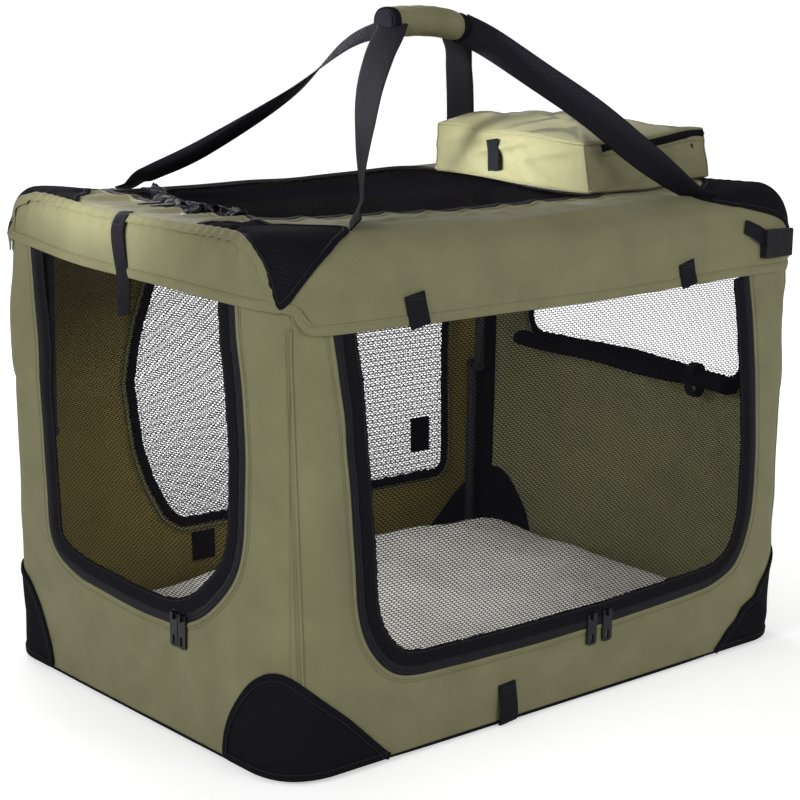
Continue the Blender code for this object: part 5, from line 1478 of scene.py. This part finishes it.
def mat_at(u, v):
    """v runs from the middle of the underside (0) out over the rim to the middle of the top (1)."""
    a, b = soft_square(u * math.tau, 9.0)
    t = v * 2 - 1
    out = 1 - np.abs(t)
    reach = np.minimum(out * 1.25, 1.0) ** 0.9
    pull = 1 - 0.020 * (1 - np.abs(np.sin(2 * u * math.tau)) ** 0.5)
    x, y = mat_x * 0.995 * a * reach * pull, mat_y * 0.99 * b * reach * pull
    near_rim = np.clip((1 - reach) / 0.10, 0, 1)
    body_height = mat_z * (0.55 + 1.05 * np.sqrt(1 - (1 - near_rim) ** 2))
    drift = (4.2 * np.sin(24 * x + 19 * y) + 2.6 * np.sin(-17 * x + 31 * y + 1)
             + 1.4 * np.sin(52 * x + 44 * y)) * MM
    body_height = body_height + 15 * MM * ramp(y, -0.05, 0.20) * near_rim ** 0.5
    crown = 3 * MM * near_rim * (1 - (x / mat_x) ** 2)
    z = np.where(t > 0, mat_low.z + body_height + crown + drift * near_rim, mat_low.z)
    soft = mat_low.z + mat_z * 0.55 * np.clip(np.abs(t) / 0.2, 0, 1)
    z = np.where(np.abs(t) < 0.2, np.where(t > 0, soft, mat_low.z), z)
    return np.stack([x, y, z], 1)


mat = sheet("fleece_mat", 200, 90, mat_at, lambda u, v: (u * 2.4, v * 0.5), fleece_cream)
face_outwards()
settle(mat, "root", "sleeping_mat", hung=False)
print("mat", [round(x, 3) for x in mat.dimensions])

# %% [markdown]
# The floor is a stiff panel in black cloth with rounded corners. The lower half of the right end's
# window cover is rolled up inside and held by a tie, and its net hangs in a soft bundle.

# %% Floor, window roll and tie
def floor_at(u, v):
    a, b = soft_square(u * math.tau, 7.0)
    return np.stack([(HALF_X - 3 * MM) * a * v, (HALF_Y - 3 * MM) * b * v, np.full(len(u), FLOOR_TOP)], 1)


floor_cloth = sheet("floor_panel_cloth", 160, 24, floor_at,
                    lambda u, v: (np.cos(u * math.tau) * v * 0.4, np.sin(u * math.tau) * v * 0.3),
                    canvas_black)
face_outwards()
if floor_cloth.data.polygons[0].normal.z < 0:
    floor_cloth.data.flip_normals()
thicken(floor_cloth, FLOOR_TOP - 0.4 * MM)
settle(floor_cloth, "root", "floor_panel", hung=False)

ys = np.linspace(roll_low.y, roll_high.y, 80)
t = (ys - roll_low.y) / (roll_high.y - roll_low.y)
ease = -12 * MM * (1 - t) + 1.5 * MM * np.sin(ys * 31)
middle = (roll_low + roll_high) / 2
points = np.stack([np.full(80, middle.x), ys, middle.z + 9 * MM + ease], 1)
turn = np.linspace(0, math.tau * 1.9, 46)
spiral = np.stack([np.cos(turn), 1.6 * np.sin(turn)], 1) * (6 + 6.5 * turn[:, None] / turn[-1]) * MM
spiral = np.vstack([spiral, spiral[::-1] * 0.90])
roll = band("window_cover_roll", (points, np.tile((-1.0, 0.0, 0.0), (80, 1))), spiral, net_black, "root",
            "right_window_roll", hung=False)
tie_low, tie_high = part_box("right_window_tie")
angle = np.linspace(0, math.tau, 40, endpoint=False)
radial = np.stack([np.cos(angle), np.zeros(40), np.sin(angle)], 1)
loop = np.array((tie_low + tie_high) / 2) - (0, 0, 1 * MM) + radial * np.array([13.8 * MM, 0, 22.0 * MM])
tie = band("window_cover_tie", (loop, radial), flat_section(15 * MM, 1.2 * MM, 0.2 * MM), webbing_black,
           "root",
           "right_window_tie", closed=True, hung=False)
print("roll and tie done")

# %% [markdown]
# A few small things are sewn to the inside: a square of hook tape on the back window's net, a pad
# below it, and a tape that covers the seam of each upright corner.

# %% Patches and tapes inside
for name, x0, x1, z0, z1, proud in (("window_hook_square", .264, .300, .156, .207, -1.0),
                                    ("wall_hook_square", -.130, -.094, .064, .103, -3.6)):
    path = np.stack([np.full(12, -(x0 + x1) / 2), np.linspace(z0, z1, 12)], 1)
    on_wall["back"].append(band(name, on_face("back", proud * MM)(path),
                                flat_section(x1 - x0, 1.4 * MM, 0.2 * MM),
                                knit_black, "root"))
for face in RING:
    heights = np.linspace(FLOOR_TOP + 4 * MM, FRONT_HEM - 4 * MM, 60)
    aside = np.full(60, -seam_along(face) + (30 if face in ("left", "right") else 0) * MM)
    on_wall[face].append(band(face + "_corner_tape", place_on(face, aside, heights, -3.2 * MM),
                              flat_section(26 * MM, TAPE, 0.3 * MM), knit_black, "root"))
print("inside pieces done")

# %% [markdown]
# The side-release buckle is moulded nylon, on a short piece of webbing that comes out from under the
# corner patch. It and the sliders and pulls of the doors are the solid model's own shapes, made as
# large as the real ones.

# %% Buckle, and the sliders of the doors
def enlarged(name, body, finish, scale, shift, middle=None):
    """A solid's own mesh, scaled and shifted (in mm), as a piece that stands for it."""
    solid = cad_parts[name]
    shell = solid.copy()
    shell.data = solid.data.copy()
    shell.name = shell.data.name = name + "_dressed"
    bpy.context.scene.collection.objects.link(shell)
    shell.parent = None
    place = np.array(solid.matrix_world)
    points = corners_of(shell) @ place[:3, :3].T + place[:3, 3]
    shell.matrix_world = Matrix.Identity(4)
    middle = (points.min(0) + points.max(0)) / 2 if middle is None else np.array(middle)
    move_corners(shell, middle + (points - middle) * np.array(scale) + np.array(shift) * MM)
    shell.data.materials.clear()
    shell.data.materials.append(finish)
    return settle(shell, body, name, hung=False)


BUCKLE_MIDDLE, BUCKLE_SCALE, BUCKLE_SHIFT = (0.352, -0.2950, 0.524), (0.92, 1.25, 1.45), (-10, -4, 0)
for name, body in (("buckle_socket", "top"), ("buckle_plug", "buckle_plug")):
    shell = enlarged(name, body, nylon_black, BUCKLE_SCALE, BUCKLE_SHIFT, BUCKLE_MIDDLE)
print("buckle", [round(x, 3) for x in shell.dimensions])
for door, shift in (("front", (-5, -1.5, 7)), ("end", (-3, -11, 14))):
    for zip_body in (door + "_zip_1", door + "_zip_2"):
        for node, body, wide in ((zip_body + "_slider", zip_body, 1.5),
                                 (zip_body + "_pull", zip_body + "_tag", 1.7)):
            enlarged(node, body, lacquer_black, (wide, 1.6, 1.12) if door == "front" else (1.6, wide, 1.12),
                     shift)
t = np.linspace(0, 1, 30)
placed = place_on("front", 0.292 + 0.034 * t, 0.545 - 0.020 * t, (2.6 + 3.6 * np.sin(t * 2.2)) * MM)
band("buckle_webbing", placed, flat_section(18 * MM, 1.6 * MM, 0.3 * MM), webbing_black, "top")

# %% [markdown]
# What stays from the solid model is the steel frame, and the sliders and pulls of the hatch and the
# pouch. Their shapes are right, so they only get their real finishes.

# %% Finishes of the solids that stay
for name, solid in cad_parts.items():
    if solid.hide_render:
        continue
    finish = steel_grey if "leg" in name or "frame" in name else lacquer_black
    for index in range(len(solid.material_slots)):
        solid.material_slots[index].material = finish
print("kept:", sorted(n for n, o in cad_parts.items() if not o.hide_render))

# %% [markdown]
# ## Own meshes
# The walls are cloth: when the frame folds they crumple down to the floor. Each wall and what is sewn to it,
# the roll and the tie among them, gets a mesh of its own.

# %% Own meshes for the walls and what is sewn to them
on_wall["right"] += [roll, tie]
for part, pieces in on_wall.items():
    for piece in pieces:
        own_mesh(piece)

# %% [markdown]
# ## Light and floor
# A plain white room. The camera sees the world as pure white, and the cloth is lit by a dimmer one,
# which gets weaker from the horizon upwards, as in a room with a white floor and no ceiling.

# %% World
bpy.context.scene.view_settings.view_transform = "Standard"
world = bpy.data.worlds.new("studio")
bpy.context.scene.world = world
world.use_nodes = True
tree = world.node_tree
tree.nodes.clear()
seen = add(tree, "ShaderNodeLightPath")
direct = add(tree, "ShaderNodeMath", operation="MAXIMUM",
             links={0: seen.outputs["Is Camera Ray"], 1: seen.outputs["Is Transmission Ray"]})
way = add(tree, "ShaderNodeSeparateXYZ", links={0: add(tree, "ShaderNodeTexCoord").outputs["Generated"]})
LIGHT_AT_HORIZON, LIGHT_OVERHEAD = 0.62, 0.22
height = add(tree, "ShaderNodeMapRange", {"To Min": LIGHT_AT_HORIZON, "To Max": LIGHT_OVERHEAD},
             {"Value": way.outputs[2]})
room = add(tree, "ShaderNodeBackground", {"Color": linear("#ffffff")}, {"Strength": height.outputs[0]})
white = add(tree, "ShaderNodeBackground", {"Color": linear("#ffffff"), "Strength": 1.0})
mixed = add(tree, "ShaderNodeMixShader", links={0: direct.outputs[0], 1: room.outputs[0],
                                                2: white.outputs[0]})
add(tree, "ShaderNodeOutputWorld", links={"Surface": mixed.outputs[0]})
print("world:", world.name)

# %% [markdown]
# One broad lamp from the upper left gives the cloth its form and a weaker one fills the front. A
# small one reaches the pouch under its straps, one lifts the mat inside, and one stands behind.

# %% Lamps
def lamp(name, place, aim, size, power, spread=180):
    deselect()
    bpy.ops.object.light_add(type="AREA", location=place)
    light = bpy.context.object
    light.name = name
    light.data.shape = "DISK"
    light.data.size, light.data.energy, light.data.spread = size, power, math.radians(spread)
    light.rotation_euler = (Vector(aim) - Vector(place)).to_track_quat("-Z", "Y").to_euler()
    return light


# each lamp: its place, what it shines at, its size in metres and its power in watts
lamp("key_lamp", (-3.1, -0.6, 1.5), (0, 0, 0.35), 1.3, 42)
lamp("fill_lamp", (0.6, -3.2, 1.2), (0.1, 0, 0.3), 1.8, 32)
lamp("pouch_lamp", (-2.2, 0.30, 0.98), (0.17, 0.0, 0.622), 0.30, 0.80, spread=8)
lamp("inner_lamp", (-0.12, -0.06, 0.50), (-0.02, -0.10, 0.05), 0.40, 1.1)
lamp("back_lamp", (0.6, 2.6, 2.2), (0, 0, 0.2), 1.8, 34)

# %% [markdown]
# The floor is a matt white board that takes the crate's shadow. Seen by the camera it also glows a
# little, more so further out, so that it goes over into the white world without a line.

# %% Floor
deselect()
bpy.ops.mesh.primitive_plane_add(size=24, location=(0, 0, -0.6 * MM))
floor = bpy.context.object
floor.name = "studio_floor"
floor_white = bpy.data.materials.new("matt_white_board")
floor_white.use_nodes = True
tree = floor_white.node_tree
tree.nodes.clear()
seen = add(tree, "ShaderNodeLightPath")
matt = add(tree, "ShaderNodeBsdfDiffuse", {"Color": linear("#f2f2f2")})
reach = add(tree, "ShaderNodeVectorMath", links={0: object_place(tree)}, operation="LENGTH")
# the glow is low near the crate, where its shadow falls, and grows with the distance from its middle
GLOW_NEAR, GLOW_FAR, GLOW_LOW, GLOW_HIGH = 0.55, 1.6, 0.46, 0.84
level = add(tree, "ShaderNodeMapRange", {"From Min": GLOW_NEAR, "From Max": GLOW_FAR, "To Min": GLOW_LOW,
                                         "To Max": GLOW_HIGH}, {"Value": reach.outputs["Value"]})
glow = add(tree, "ShaderNodeEmission", {"Color": linear("#ffffff")}, {"Strength": level.outputs[0]})
lifted = add(tree, "ShaderNodeAddShader", links={0: matt.outputs[0], 1: glow.outputs[0]})
shown = add(tree, "ShaderNodeMixShader",
            links={0: seen.outputs["Is Camera Ray"], 1: matt.outputs[0], 2: lifted.outputs[0]})
add(tree, "ShaderNodeOutputMaterial", links={"Surface": shown.outputs[0]})
floor.data.materials.append(floor_white)
print("floor:", floor.name)
